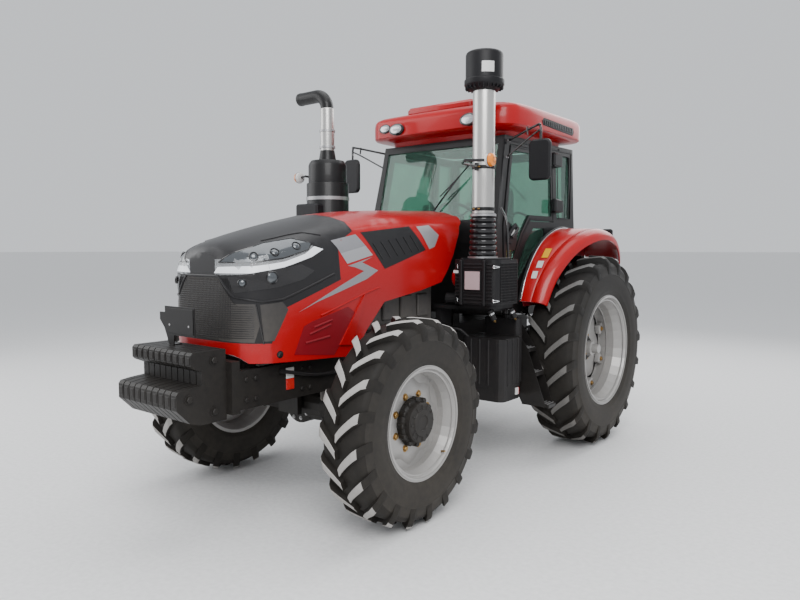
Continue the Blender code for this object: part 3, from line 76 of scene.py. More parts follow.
def start_group(name, grain):
    """A node group with its named sockets and object coordinates."""
    group = bpy.data.node_groups.new(name, "ShaderNodeTree")
    for title, value in (("Colour", (.5, .5, .5, 1.0)), ("Dust Colour", (.3, .25, .19, 1.0))):
        socket(group, title, "NodeSocketColor", "INPUT", value)
    for title, value in (("Dust", .2), ("Rough", .5), ("Grain", grain)):
        socket(group, title, "NodeSocketFloat", "INPUT", value)
    for title, kind in (("Color", "Color"), ("Roughness", "Float"), ("Height", "Float")):
        socket(group, title, f"NodeSocket{kind}", "OUTPUT")
    nodes = group.nodes
    return group, nodes.new("NodeGroupInput"), nodes.new("NodeGroupOutput"), nodes.new("ShaderNodeTexCoord")


def math_node(group, kind, first, second, clamp=False):
    node = group.nodes.new("ShaderNodeMath")
    node.operation = kind
    node.use_clamp = clamp
    for index, value in enumerate((first, second)):
        if isinstance(value, (int, float)):
            node.inputs[index].default_value = value
        else:
            group.links.new(value, node.inputs[index])
    return node.outputs[0]


def noise_node(group, vector, scale, detail):
    node = group.nodes.new("ShaderNodeTexNoise")
    node.inputs["Detail"].default_value = detail
    if isinstance(scale, (int, float)):
        node.inputs["Scale"].default_value = scale
    else:
        group.links.new(scale, node.inputs["Scale"])
    group.links.new(vector, node.inputs["Vector"])
    return node.outputs["Fac"]


def finish_group(group, entry, leave, fine, coordinates):
    """Blends in dust that gathers low down and in patches, and passes on colour, roughness, height."""
    links = group.links
    patch = noise_node(group, coordinates, 3.1, 5.0)
    spots = noise_node(group, coordinates, 23.0, 3.0)
    split = group.nodes.new("ShaderNodeSeparateXYZ")
    links.new(coordinates, split.inputs[0])
    low = group.nodes.new("ShaderNodeMapRange")
    set_inputs(low, {"From Min": 2.0, "From Max": .2})
    links.new(split.outputs["Z"], low.inputs["Value"])
    settled = math_node(group, "MULTIPLY_ADD", low.outputs[0], .85)
    group.nodes[-1].inputs[2].default_value = .15
    uneven = math_node(group, "MULTIPLY", math_node(group, "ADD", patch, spots), settled)
    mask = math_node(group, "MULTIPLY", uneven, entry.outputs["Dust"], clamp=True)
    shade = group.nodes.new("ShaderNodeMix")
    shade.data_type = "RGBA"
    shade.blend_type = "MULTIPLY"
    shade.inputs["Factor"].default_value = .25
    links.new(entry.outputs["Colour"], shade.inputs["A"])
    links.new(fine, shade.inputs["B"])
    mix = group.nodes.new("ShaderNodeMix")
    mix.data_type = "RGBA"
    links.new(mask, mix.inputs["Factor"])
    links.new(shade.outputs["Result"], mix.inputs["A"])
    links.new(entry.outputs["Dust Colour"], mix.inputs["B"])
    links.new(mix.outputs["Result"], leave.inputs["Color"])
    varied = math_node(group, "MULTIPLY_ADD", fine, .1)
    group.nodes[-1].inputs[2].default_value = -.05
    rough = math_node(group, "ADD", varied, entry.outputs["Rough"])
    worn = math_node(group, "MULTIPLY", mask, .5)
    links.new(math_node(group, "ADD", rough, worn, clamp=True), leave.inputs["Roughness"])
    links.new(fine, leave.inputs["Height"])
    return group


def grain_group():
    group, entry, leave, coordinates = start_group("grain_and_dust", 180.0)
    at = coordinates.outputs["Object"]
    return finish_group(group, entry, leave, noise_node(group, at, entry.outputs["Grain"], 6.0), at)


def brushed_group():
    """Fine drawn lines, as on rolled or polished sheet."""
    group, entry, leave, coordinates = start_group("brushed", 6.0)
    at = coordinates.outputs["Object"]
    stretch = group.nodes.new("ShaderNodeMapping")
    stretch.inputs["Scale"].default_value = (60.0, 60.0, 1.2)
    group.links.new(at, stretch.inputs["Vector"])
    fine = noise_node(group, stretch.outputs["Vector"], entry.outputs["Grain"], 4.0)
    return finish_group(group, entry, leave, fine, at)


def weave_group():
    """Two crossed sets of ribs, as in seat cloth."""
    group, entry, leave, coordinates = start_group("weave", 90.0)
    at = coordinates.outputs["Object"]
    threads = []
    for direction in ("X", "Z"):
        wave = group.nodes.new("ShaderNodeTexWave")
        wave.bands_direction = direction
        wave.inputs["Distortion"].default_value = .6
        group.links.new(at, wave.inputs["Vector"])
        group.links.new(entry.outputs["Grain"], wave.inputs["Scale"])
        threads.append(wave.outputs["Fac"])
    return finish_group(group, entry, leave, math_node(group, "MULTIPLY", *threads), at)


GROUPS = {"grain": grain_group(), "brushed": brushed_group(), "weave": weave_group()}


def make_material(name, colour, rough, kind="grain", metallic=0.0, coat=0.0, dust=.2, grain=180.0,
                  bump=.15, depth=.001, glow=0.0, clear=0.0, shine=.5):
    material = bpy.data.materials.new(name)
    material.use_nodes = True
    nodes, links = material.node_tree.nodes, material.node_tree.links
    shader = nodes["Principled BSDF"]
    detail = nodes.new("ShaderNodeGroup")
    detail.node_tree = GROUPS[kind]
    relief = nodes.new("ShaderNodeBump")
    set_inputs(detail, {"Colour": (*colour, 1.0), "Dust": dust, "Rough": rough, "Grain": grain})
    set_inputs(relief, {"Strength": bump, "Distance": depth})
    set_inputs(shader, {"Metallic": metallic, "Specular IOR Level": shine, "Coat Weight": coat,
                        "Coat Roughness": .06, "Transmission Weight": clear, "Emission Strength": glow})
    if glow:
        set_inputs(shader, {"Emission Color": (*colour, 1.0)})
    links.new(detail.outputs["Color"], shader.inputs["Base Color"])
    links.new(detail.outputs["Roughness"], shader.inputs["Roughness"])
    links.new(detail.outputs["Height"], relief.inputs["Height"])
    links.new(relief.outputs["Normal"], shader.inputs["Normal"])
    return material


M = {
    "red": make_material("red_coat", (.42, .001, .005), .28, coat=.18, dust=.03, grain=350.0, bump=.03,
                         shine=.3),
    "red_dark": make_material("red_dark", (.22, .002, .01), .4, coat=.1, dust=.03, bump=.06, shine=.3),
    "black": make_material("black_coat", (.006, .006, .007), .4, coat=.1, dust=.04, bump=.08, shine=.28),
    "cast": make_material("cast_black", (.007, .007, .008), .45, dust=.06, grain=90.0, bump=.35, depth=.002,
                          shine=.25),
    "nose": make_material("nose_plastic", (.012, .012, .014), .36, dust=.04, grain=420.0, bump=.08,
                          shine=.32),
    "gloss": make_material("gloss_black", (.008, .008, .01), .18, coat=.5, dust=.06, bump=.03, shine=.4),
    "plastic": make_material("grained_plastic", (.008, .008, .01), .45, dust=.04, grain=520.0, bump=.25,
                             shine=.25),
    "rubber": make_material("tyre_rubber", (.007, .007, .0075), .62, dust=.06, grain=70.0, bump=.35,
                            depth=.002, shine=.2),
    "wall": make_material("tyre_wall", (.009, .009, .0095), .58, dust=.09, grain=60.0, bump=.2, shine=.25),
    # Lug faces: painted highlight. The light grey of the front lugs and the mid grey of the rear ones stand
    # for sky reflected on the lug tops, so the two copies differ by light; the dust noise on them is dust.
    "lug": make_material("painted_highlight_lug", (.4, .39, .38), .75, dust=.2, grain=45.0, bump=.5, depth=.002),
    "lug_rear": make_material("painted_highlight_lug_rear", (.11, .11, .11), .75, dust=.15, grain=45.0, bump=.5,
                              depth=.002),
    "rim": make_material("rim_grey", (.42, .41, .4), .34, metallic=.35, dust=.08, bump=.1),
    "brass": make_material("brass", (.42, .25, .07), .34, metallic=.9, dust=.25),
    "steel": make_material("plain_steel", (.45, .45, .46), .36, metallic=.8, dust=.22),
    "brushed": make_material("brushed_steel", (.62, .61, .59), .28, kind="brushed", metallic=.85, dust=.1,
                             bump=.2),
    "chrome": make_material("bright_steel", (.75, .75, .76), .12, metallic=1.0, dust=.05, bump=.02),
    "engine": make_material("engine_grey", (.09, .09, .095), .5, metallic=.2, dust=.35, bump=.3, shine=.3),
    "core": make_material("cooler_core", (.02, .02, .022), .6, dust=.2, grain=300.0, bump=.6),
    "glass": make_material("green_glass", (.3, .58, .46), .03, clear=.92, dust=.01, grain=6.0, bump=.01),
    "lens": make_material("clear_lens", (.86, .88, .9), .08, clear=.75, dust=.04, grain=40.0, bump=.05),
    "led": make_material("led_band", (.85, .87, .9), .25, glow=.35, dust=.03),
    "dark_silver": make_material("dark_reflector", (.1, .11, .12), .16, metallic=.6, coat=.6, dust=.02,
                                 bump=.05),
    "silver": make_material("lamp_silver", (.62, .64, .66), .2, metallic=.8, dust=.05, grain=90.0, bump=.2),
    "amber": make_material("amber_lens", (.85, .24, .01), .2, coat=.6, dust=.04, grain=120.0, bump=.15),
    "tail": make_material("red_lens", (.55, .01, .01), .18, coat=.6, dust=.06, grain=120.0, bump=.15),
    "white": make_material("white_decal", (.72, .72, .71), .4, dust=.16, bump=.03),
    "grey_decal": make_material("grey_decal", (.3, .3, .32), .35, metallic=.3, dust=.06, bump=.03),
    "silver_decal": make_material("silver_decal", (.46, .46, .48), .3, metallic=.5, dust=.06, bump=.03),
    "yellow": make_material("yellow_decal", (.8, .42, .01), .4, dust=.08, bump=.03),
    "pink": make_material("faded_label", (.5, .36, .38), .55, dust=.18, bump=.03),
    "mirror": make_material("mirror_glass", (.7, .72, .74), .04, metallic=1.0, dust=.02, bump=.01),
    "cloth": make_material("seat_cloth", (.025, .026, .03), .85, kind="weave", dust=.1, grain=70.0, bump=.5,
                           depth=.0015),
    "cloth_side": make_material("seat_side", (.05, .05, .056), .75, kind="weave", dust=.1, grain=50.0,
                                bump=.3),
}


# Shapes ------------------------------------------------------------------------------------------

def bevelled(bm, width):
    """Rounds the sharp edges of a small solid and returns its vertices and faces."""
    if width:
        edges = [e for e in bm.edges if len(e.link_faces) == 2 and e.calc_face_angle(0.0) > radians(28)]
        bmesh.ops.bevel(bm, geom=edges, offset=width, segments=1, profile=.7, affect="EDGES",
                        clamp_overlap=True)
    bm.verts.index_update()
    mesh = [v.co.copy() for v in bm.verts], [[v.index for v in f.verts] for f in bm.faces]
    bm.free()
    return mesh


def about(middle, half):
    """A pair of bounds either side of a middle."""
    return middle - half, middle + half


def spaced(start, pitch, count):
    return [start + pitch * k for k in range(count)]


def band(half, edge, radius, rise):
    """The profile of a clamp: a ring that stands proud, with short slopes at both edges."""
    high = radius + rise
    return [(-half, radius), (edge - half, high), (half - edge, high), (half, radius)]


def block(x, y, z, bevel=.004):
    """A box between pairs of bounds, with softened edges."""
    bm = bmesh.new()
    size = [b - a for a, b in (x, y, z)]
    middle = [(a + b) / 2 for a, b in (x, y, z)]
    bmesh.ops.create_cube(bm, matrix=Matrix.Translation(middle) @ Matrix.Diagonal((*size, 1.0)))
    return bevelled(bm, min(bevel, min(size) * .3))


def prism(outline, axis, low, high, bevel=.003):
    """An outline in the plane across the axis, pulled out between two depths."""
    first, second, depth = AXES[axis]
    bm = bmesh.new()
    verts = []
    for a, b in outline:
        point = [0.0, 0.0, 0.0]
        point[first], point[second], point[depth] = a, b, low
        verts.append(bm.verts.new(point))
    face = bm.faces.new(verts)
    pulled = bmesh.ops.extrude_face_region(bm, geom=[face])["geom"]
    shift = [0.0, 0.0, 0.0]
    shift[depth] = high - low
    bmesh.ops.translate(bm, verts=[v for v in pulled if isinstance(v, bmesh.types.BMVert)], vec=shift)
    bmesh.ops.recalc_face_normals(bm, faces=bm.faces)
    return bevelled(bm, min(bevel, abs(high - low) * .3))


def ring_faces(rows, columns, cap=True):
    """The faces between rings of vertices, with or without the two ends."""
    faces = []
    for row in range(rows - 1):
        for col in range(columns):
            following = (col + 1) % columns
            faces.append([row * columns + col, row * columns + following,
                          (row + 1) * columns + following, (row + 1) * columns + col])
    if cap:
        last = (rows - 1) * columns
        faces += [list(range(columns))[::-1], list(range(last, last + columns))]
    return faces


def lathe(profile, centre, axis, segments=48, cap=True):
    """A profile of (distance along the axis, radius) turned about it."""
    first, second, depth = AXES[axis]
    verts = []
    for along, radius in profile:
        for step in range(segments):
            angle = 2 * pi * step / segments
            point = list(centre)
            point[first] += radius * cos(angle)
            point[second] += radius * sin(angle)
            point[depth] += along
            verts.append(Vector(point))
    return verts, ring_faces(len(profile), segments, cap)


def smooth_path(points, steps=6):
    """A Catmull-Rom curve through the given points."""
    points = [Vector(p) for p in points]
    count = len(points)
    path = []
    for i in range(count - 1):
        b, c = points[i], points[i + 1]
        a = points[i - 1] if i else b * 2 - c
        d = points[i + 2] if i + 2 < count else c * 2 - b
        for step in range(steps):
            t = step / steps
            path.append(.5 * (2 * b + (c - a) * t + (2 * a - 5 * b + 4 * c - d) * t ** 2
                               + (3 * b - a - 3 * c + d) * t ** 3))
    return [*path, points[-1]]


def tube(points, radius, sides=10, steps=6, curved=True):
    """A round bar or hose along a path."""
    path = smooth_path(points, steps) if curved else [Vector(p) for p in points]
    verts = []
    side = None
    for i, point in enumerate(path):
        ahead = (path[min(i + 1, len(path) - 1)] - path[max(i - 1, 0)]).normalized()
        if side is None:
            side = ahead.orthogonal().normalized()
        side = (side - ahead * side.dot(ahead)).normalized()
        up = ahead.cross(side)
        for step in range(sides):
            angle = 2 * pi * step / sides
            verts.append(point + radius * (side * cos(angle) + up * sin(angle)))
    return verts, ring_faces(len(path), sides)


def placed(mesh, matrix):
    return [matrix @ v for v in mesh[0]], mesh[1]


def turned(profile, place, segments=48, cap=True):
    """A profile turned about the Z axis of a placement."""
    return placed(lathe(profile, (0, 0, 0), "Z", segments, cap), place)


def facing(at, direction):
    """A placement at a spot with its Z axis along a direction."""
    return Matrix.Translation(at) @ Vector(direction).to_track_quat("Z", "Y").to_matrix().to_4x4()


def spun(at, angle, axis):
    """A placement at a spot, turned about one axis."""
    return Matrix.Translation(at) @ Matrix.Rotation(angle, 4, axis)


def circle(count, radius, centre, axis, start=0.0):
    """Evenly spaced spots round a centre, across an axis."""
    first, second, _ = AXES[axis]
    spots = []
    for k in range(count):
        spot = list(centre)
        spot[first] += radius * cos(start + 2 * pi * k / count)
        spot[second] += radius * sin(start + 2 * pi * k / count)
        spots.append(spot)
    return spots


def bolt(at, direction, radius=.011, height=.009, sides=6):
    """A hexagon head on a thin washer."""
    place = facing(at, direction)
    washer = turned([(-.001, radius * 1.45), (.002, radius * 1.45)], place, 16)
    head = turned([(0.0, radius), (height * .8, radius), (height, radius * .8)], place, sides)
    return washer, head


def flipped(mesh):
    """The mirror twin across the middle plane."""
    return [Vector((-v.x, v.y, v.z)) for v in mesh[0]], [face[::-1] for face in mesh[1]]


def rod(points, radius, sides=10):
    """A straight or bent bar with sharp corners."""
    return tube(points, radius, sides, curved=False)


def adder(make):
    """A Piece method that makes a shape and adds it in the material named first."""
    def method(self, material, *shape, both=None, **settings):
        return self.add(make(*shape, **settings), material, both)
    return method


class Piece:
    """Collects shapes with their materials, then makes one object that rides on a body."""
    block, prism, lathe, turned, tube, bar = map(adder, (block, prism, lathe, turned, tube, rod))

    def __init__(self, both=False):
        self.parts = []
        self.both = both

    def add(self, mesh, material, both=None):
        """Adds a shape, and its mirror twin where both sides have one."""
        self.parts.append((mesh, material))
        if self.both if both is None else both:
            self.parts.append((flipped(mesh), material))

    def bolts(self, spots, direction, material="steel", radius=.011, both=None):
        for spot in spots:
            for part in bolt(spot, direction, radius, radius * .85):
                self.add(part, material, both)

    def done(self, name, body, replaces=(), side=1, angle=32):
        verts, faces, picks, used = [], [], [], []
        for mesh, material in self.parts:
            if side < 0:
                mesh = flipped(mesh)
            if material not in used:
                used.append(material)
            start = len(verts)
            verts += mesh[0]
            faces += [[start + i for i in face] for face in mesh[1]]
            picks += [used.index(material)] * len(mesh[1])
        data = bpy.data.meshes.new(name)
        data.from_pydata(verts, [], faces)
        for material in used:
            data.materials.append(M[material])
        data.polygons.foreach_set("material_index", picks)
        data.polygons.foreach_set("use_smooth", [True] * len(faces))
        data.validate()
        data.set_sharp_from_angle(angle=radians(angle))
        piece = bpy.data.objects.new(name, data)
        bpy.context.scene.collection.objects.link(piece)
        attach(piece, body)
        if replaces:
            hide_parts(*replaces)
        return piece


def dress(material, *names):
    """Gives a carried-over frame node its finish."""
    for name in names:
        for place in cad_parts[name].material_slots:
            place.material = M[material]


SIDES = (("left", 1), ("right", -1))


# Tyres and wheels --------------------------------------------------------------------------------

def tyre_carcass(tyre):
    """(distance from the middle, radius) round the section, from bead to bead, with sidewall rings."""
    half, top, rim = tyre["width"] / 2, tyre["radius"] - tyre["lug"], tyre["rim"]
    rise = top - rim
    wall = [(.8, 0.0), (.84, .03), (.88, .06), (.93, .14), (.955, .17), (.955, .19), (.985, .3),
            (1.0, .42), (.995, .52), (.985, .6), (.992, .605), (.992, .625), (.975, .64), (.955, .74),
            (.925, .84), (.86, .92), (.74, .965), (.5, .99), (.25, 1.0)]
    right = [(half * a, rim + rise * b) for a, b in wall]
    return right + [(0.0, top)] + [(-a, b) for a, b in reversed(right)]


def lug_path(tyre, steps=9):
    """Stations of one lug: sideways place, turn round the tyre, height of the face, half width."""
    half, radius = tyre["width"] / 2, tyre["radius"]
    rows = []
    for step in range(steps):
        t = step / (steps - 1)
        across = half * (.02 + .95 * t)
        swing = tyre["depth"] * (.1 + .72 * t ** .85) / radius
        drop = .003 * t + (.062 * ((t - .72) / .28) ** 2 if t > .72 else 0.0)
        rows.append((across, swing, radius - drop, .027 + .004 * t))
    across, swing, height, wide = rows[-1]
    rows.append((across + half * .015, swing + .006, height - .05, wide * .9))
    return rows


def one_lug(tyre, turn, side):
    """A swept bar: its face and its flanks, reaching into the carcass."""
    axle, x0 = tyre["axle"], tyre["x"]
    root = tyre["lug"] + .03
    verts = []
    for across, swing, height, wide in lug_path(tyre):
        for offset, depth in ((-1.35, root), (-1.0, .004), (-.8, 0.0), (.8, 0.0), (1.0, .004), (1.35, root)):
            reach = height - depth
            angle = turn + swing + offset * wide / tyre["radius"]
            verts.append(Vector((x0 + side * across, axle[0] + reach * sin(angle),
                                 axle[1] + reach * cos(angle))))
    columns = 6
    rows = len(verts) // columns
    flank, face = [], []
    for row in range(rows - 1):
        for col in range(columns - 1):
            quad = [row * columns + col, row * columns + col + 1,
                    (row + 1) * columns + col + 1, (row + 1) * columns + col]
            top = 1 <= col <= 3 and row < rows - 3
            (face if top else flank).append(quad[::-1] if side > 0 else quad)
    flank += [list(range(columns)), list(range((rows - 1) * columns, rows * columns))[::-1]]
    return (verts, flank), (verts, face)


def build_tyre(end, label, side, tyre, face_highlight):
    """Carcass with its sidewall rings, and two rows of slanting lugs whose faces carry a painted highlight.
    """
    piece = Piece()
    segments, tread_rows = 96, range(14, 24)
    verts, faces = lathe(tyre_carcass(tyre), (tyre["x"], *tyre["axle"]), "X", segments, cap=False)
    walls, tread = [], []
    for index, face in enumerate(faces):
        (tread if index // segments in tread_rows else walls).append(face)
    piece.add((verts, walls), "wall")
    piece.add((verts, tread), "rubber")
    for hand in (1, -1):
        for k in range(LUGS_PER_SIDE):
            turn = 2 * pi * (k + (.5 if hand < 0 else 0.0)) / LUGS_PER_SIDE
            flank, face = one_lug(tyre, turn, hand)
            piece.add(flank, "rubber")
            # Lug faces take the painted highlight material.
            piece.add(face, face_highlight)
    piece.done(f"tyre_{end}_{label}_look", f"{end}_wheel_{label}", (f"{end}_tyre_{label}",),
               side, 40)


def scalloped_disc(axle, x, inner, outer, waves, depth, thick):
    """A disc whose edge swells and dips, bowed outwards to its bolt circle."""
    steps = waves * 12
    rings = [(inner, 0.0), (inner + .03, .004), ((inner + outer) / 2, .01), (outer - .02, -.004),
             (outer, -.012)]
    verts = []
    for back in (0.0, -thick):
        for radius, bow in (rings if back == 0.0 else rings[::-1]):
            for step in range(steps):
                angle = 2 * pi * step / steps
                grow = depth * .5 * (cos(waves * angle) - 1) if radius > (inner + outer) / 2 + .01 else 0.0
                verts.append(Vector((x + bow + back, axle[0] + (radius + grow) * cos(angle),
                                     axle[1] + (radius + grow) * sin(angle))))
    rows = len(rings) * 2
    faces = ring_faces(rows, steps, cap=False)
    last = (rows - 1) * steps
    faces += [[last + s, last + (s + 1) % steps, (s + 1) % steps, s] for s in range(steps)]
    return verts, faces


def rim_edge(piece, tyre, radius, x, half, segments):
    """A rolled edge on the rim."""
    profile = [(-half, radius - .008), (.002, radius + .004), (half, radius), (.002, radius - .01)]
    piece.lathe("rim", profile, (tyre["x"] + x, *tyre["axle"]), "X", segments, cap=False)


def build_front_trim(label, side):
    """Nuts, hub cover, disc edge and valve on the front wheel's frame rim, with a painted-shade ring behind
    the disc.
    """
    hub = Vector((FRONT_TYRE["x"] + .012, *FRONT_AXLE))
    piece = Piece()
    # Gloss-black ring behind the scalloped disc: painted shade for the dark gap between disc and rim.
    piece.lathe("gloss", [(.002, .305), (.004, .305), (.004, .2)], hub, "X", 64, cap=False)
    piece.add(scalloped_disc(FRONT_AXLE, hub.x + .022, .1, .29, 8, .034, .01), "rim")
    piece.bolts(circle(8, .178, hub + Vector((.03, 0, 0)), "X", pi / 8), (1, 0, 0), "brass", .017)
    cover = [(.016, .15), (.062, .15), (.07, .146), (.078, .134), (.108, .128), (.116, .118),
             (.118, .09), (.124, .085), (.126, .05), (.12, .045), (.12, .01)]
    piece.lathe("cast", cover, hub, "X", 60)
    for k, at in enumerate(circle(12, .143, hub, "X")):
        piece.lathe("cast", [(.04, .019), (.078, .019), (.083, .014)], at, "X", 20)
        rib = block((.108, .122), (-.006, .006), (.06, .116), .004)
        piece.add(placed(rib, spun(hub, 2 * pi * k / 12, "X")), "cast")
    for radius, x in ((.3556, .15), (.335, .128)):
        rim_edge(piece, FRONT_TYRE, radius, x, .004, 64)
    valve = Vector((FRONT_TYRE["x"] + .118, FRONT_AXLE[0] + .22, FRONT_AXLE[1] - .235))
    piece.bar("brass", [valve, valve + Vector((.035, -.006, .006))], .006, 10)
    piece.done(f"front_trim_{label}", f"front_wheel_{label}", side=side)


def build_rear_trim(label, side):
    """Stepped hub, clamped disc with its lugs, and rim edges of the rear wheel, with a painted-shade ring
    behind the disc.
    """
    hub = Vector((REAR_TYRE["x"] - .06, *REAR_AXLE))
    piece = Piece()
    for radius, x in ((.4826, .196), (.455, .172), (.425, .02)):
        rim_edge(piece, REAR_TYRE, radius, x, .005, 72)
    # Gloss-black ring behind the scalloped disc: painted shade for the dark gap between disc and rim.
    piece.lathe("gloss", [(.002, .4), (.004, .4), (.004, .28)], hub, "X", 72, cap=False)
    piece.add(scalloped_disc(REAR_AXLE, hub.x + .018, .12, .38, 8, .05, .01), "rim")
    for k in range(8):
        turn = spun((0, *REAR_AXLE), 2 * pi * (k + .5) / 8, "X")
        lug = block((hub.x - .02, hub.x + .055), (-.045, .045), (.345, .425), .008)
        piece.add(placed(lug, turn), "rim")
        piece.bolts([turn @ Vector((hub.x + .055, 0, .38))], (1, 0, 0), "brass", .017)
    for along, radius in ((.014, .17), (.04, .13), (.07, .095)):
        ring = [(-.014, radius), (0.0, radius), (.006, radius - .008), (.006, .02)]
        piece.lathe("cast", ring, hub + Vector((along, 0, 0)), "X", 44)
    piece.bolts(circle(8, .15, hub + Vector((.018, 0, 0)), "X"), (1, 0, 0), "brass", .014)
    for start in (-.7, pi - .7):
        angles = [start + .35 * k for k in range(5)]
        arc = [hub + Vector((.076, .07 * cos(a), .07 * sin(a))) for a in angles]
        piece.bolts(arc, (1, 0, 0), "brass", .009)
    piece.done(f"rear_trim_{label}", f"rear_wheel_{label}", side=side)


def build_wheels():
    for label, side in SIDES:
        build_tyre("front", label, side, FRONT_TYRE, "lug")
        build_tyre("rear", label, side, REAR_TYRE, "lug_rear")
        build_front_trim(label, side)
        build_rear_trim(label, side)
        dress("rim", f"front_wheel_{label}", f"rear_wheel_{label}")


# Hood --------------------------------------------------------------------------------------------

CORE_Y = -.45 + FRONT_AXLE[0]
CORNER_R = .45
QUARTER = CORNER_R * pi / 2


def softened(name, longest=.045, rounds=14):
    """A frame node's own shape with its flat facets worn smooth and its real edges kept."""
    bm = bmesh.new()
    bm.from_mesh(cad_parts[name].data)
    bmesh.ops.remove_doubles(bm, verts=bm.verts, dist=.00005)
    for _ in range(4):
        long_edges = [e for e in bm.edges if e.calc_length() > longest]
        if not long_edges:
            break
        bmesh.ops.subdivide_edges(bm, edges=long_edges, cuts=1)
        bmesh.ops.triangulate(bm, faces=[f for f in bm.faces if len(f.verts) > 3])
    fixed = set()
    for edge in bm.edges:
        if len(edge.link_faces) != 2 or edge.calc_face_angle(0.0) > radians(33):
            fixed.update(edge.verts)
    free = [v for v in bm.verts if v not in fixed]
    for _ in range(rounds):
        bmesh.ops.smooth_vert(bm, verts=free, factor=.5, use_axis_x=True, use_axis_y=True, use_axis_z=True)
    bm.verts.index_update()
    mesh = [v.co.copy() for v in bm.verts], [[v.index for v in f.verts] for f in bm.faces]
    bm.free()
    return mesh


SHELLS = {name: softened(name) for name in ("hood", "hood_nose", "headlight_left", "headlight_right")}


def hood_tree():
    """All outer skins of the hood in one tree, to lay trim on."""
    verts, faces = [], []
    for mesh in SHELLS.values():
        start = len(verts)
        verts += mesh[0]
        faces += [[start + i for i in face] for face in mesh[1]]
    return BVHTree.FromPolygons(verts, faces)


HOOD_TREE = hood_tree()


def wrap(point):
    """(x, distance behind the front axle, z) as (way round the hood, height)."""
    x, y, z = point[0], point[1] + FRONT_AXLE[0], point[2]
    if y >= CORE_Y:
        return QUARTER + y - CORE_Y, z
    return CORNER_R * atan2(x, CORE_Y - y), z


def on_hood(around, z, lift):
    """The spot on the hood's skin, raised by a small lift."""
    if around >= QUARTER:
        core, way = Vector((0, CORE_Y + around - QUARTER, z)), Vector((1, 0, 0))
    else:
        angle = around / CORNER_R
        core, way = Vector((0, CORE_Y, z)), Vector((sin(angle), -cos(angle), 0))
    hit, normal, _, _ = HOOD_TREE.ray_cast(core + way * 2, -way)
    if hit is None:
        return core + way * .4
    normal = normal if normal.dot(way) > 0 else -normal
    return hit + normal * lift


def resample(points, gap, closed=True):
    line = []
    count = len(points)
    for i in range(count if closed else count - 1):
        a, b = Vector(points[i]), Vector(points[(i + 1) % count])
        steps = max(1, int((b - a).length / gap))
        line += [a.lerp(b, k / steps) for k in range(steps)]
    if not closed:
        line.append(Vector(points[-1]))
    return line


def skin(corners, lift, gap=.025):
    """A patch that lies on the hood inside the given corners, with a small edge all round."""
    outline = resample([wrap(c) for c in corners], gap)
    count = len(outline)
    low = [min(p[i] for p in outline) for i in (0, 1)]
    high = [max(p[i] for p in outline) for i in (0, 1)]
    inner = []
    for i in range(1, int((high[0] - low[0]) / gap) + 1):
        for k in range(1, int((high[1] - low[1]) / gap) + 1):
            inner.append(Vector((low[0] + i * gap, low[1] + k * gap)))
    flat, _, faces, _, _, _ = delaunay_2d_cdt(outline + inner, [], [list(range(count))], 1, 1e-5)
    verts = [on_hood(p[0], p[1], lift) for p in flat]
    faces = [list(f) for f in faces]
    start = len(verts)
    verts += [on_hood(p[0], p[1], lift) for p in outline] + [on_hood(p[0], p[1], -.004) for p in outline]
    for i in range(count):
        following = (i + 1) % count
        faces.append([start + i, start + following, start + count + following, start + count + i])
    normal = (verts[faces[0][1]] - verts[faces[0][0]]).cross(verts[faces[0][2]] - verts[faces[0][0]])
    if normal.dot(verts[faces[0][0]] - Vector((0, CORE_Y, verts[faces[0][0]].z))) < 0:
        faces = [f[::-1] for f in faces]
    return verts, faces


def line_on(points, radius, lift=0.0):
    """A raised line along the skin."""
    path = resample([wrap(p) for p in points], .03, closed=False)
    return tube([on_hood(p[0], p[1], lift) for p in path], radius, 8, curved=False)


def side_of(x, pairs):
    return [(x, y, z) for y, z in pairs]


LED_BAND = [(.127, -.875, 1.616), (.37, -.8, 1.616), (.445, -.605, 1.65), (.459, -.382, 1.713),
            (.459, -.281, 1.76), (.446, -.352, 1.777), (.45, -.431, 1.73), (.44, -.6, 1.682),
            (.383, -.77, 1.659), (.161, -.875, 1.653)]
LAMP_GLASS = [(.167, -.874, 1.681), (.363, -.793, 1.679), (.435, -.595, 1.706), (.446, -.404, 1.756),
              (.438, -.362, 1.798), (.383, -.481, 1.826), (.329, -.662, 1.796), (.249, -.831, 1.738)]
LAMP_RECESS = [(.24, -.867, 1.594), (.287, -.855, 1.499), (.372, -.804, 1.509), (.442, -.656, 1.529),
               (.461, -.454, 1.572), (.464, -.364, 1.624), (.456, -.471, 1.668), (.431, -.688, 1.635),
               (.32, -.84, 1.604)]
GRILLE = [(0, -.875, 1.588), (.16, -.875, 1.588), (.281, -.857, 1.435), (.392, -.78, 1.432), (.4, -.76, 1.3),
          (.383, -.787, 1.2), (0, -.875, 1.215)]
SIDE_GRILLE = [(.4, -.755, 1.428), (.446, -.618, 1.44), (.448, -.575, 1.392), (.432, -.675, 1.205),
               (.41, -.735, 1.205)]
LOUVRE_PANEL = side_of(.46, [(-.057, 1.375), (.032, 1.318), (-.184, 1.062), (-.53, 1.104), (-.451, 1.276),
                             (-.385, 1.301)])
BLADE = side_of(.46, [(.1, 1.453), (-.141, 1.124), (-.023, 1.112), (.09, 1.379)])
PLATE_TOP = side_of(.45, [(-.196, 1.817), (-.124, 1.732), (.123, 1.783), (.036, 1.861)])
PLATE_LOW = side_of(.46, [(-.124, 1.732), (-.064, 1.663), (.195, 1.719), (.123, 1.783)])
ZIGZAG = side_of(.46, [(-.495, 1.368), (-.342, 1.423), (.127, 1.554), (.249, 1.611), (.082, 1.67),
                       (.188, 1.706), (-.058, 1.649), (.007, 1.639), (.101, 1.61), (-.138, 1.518)])
VENT_PANEL = side_of(.45, [(.088, 1.875), (.323, 1.62), (.812, 1.754), (.634, 1.93)])
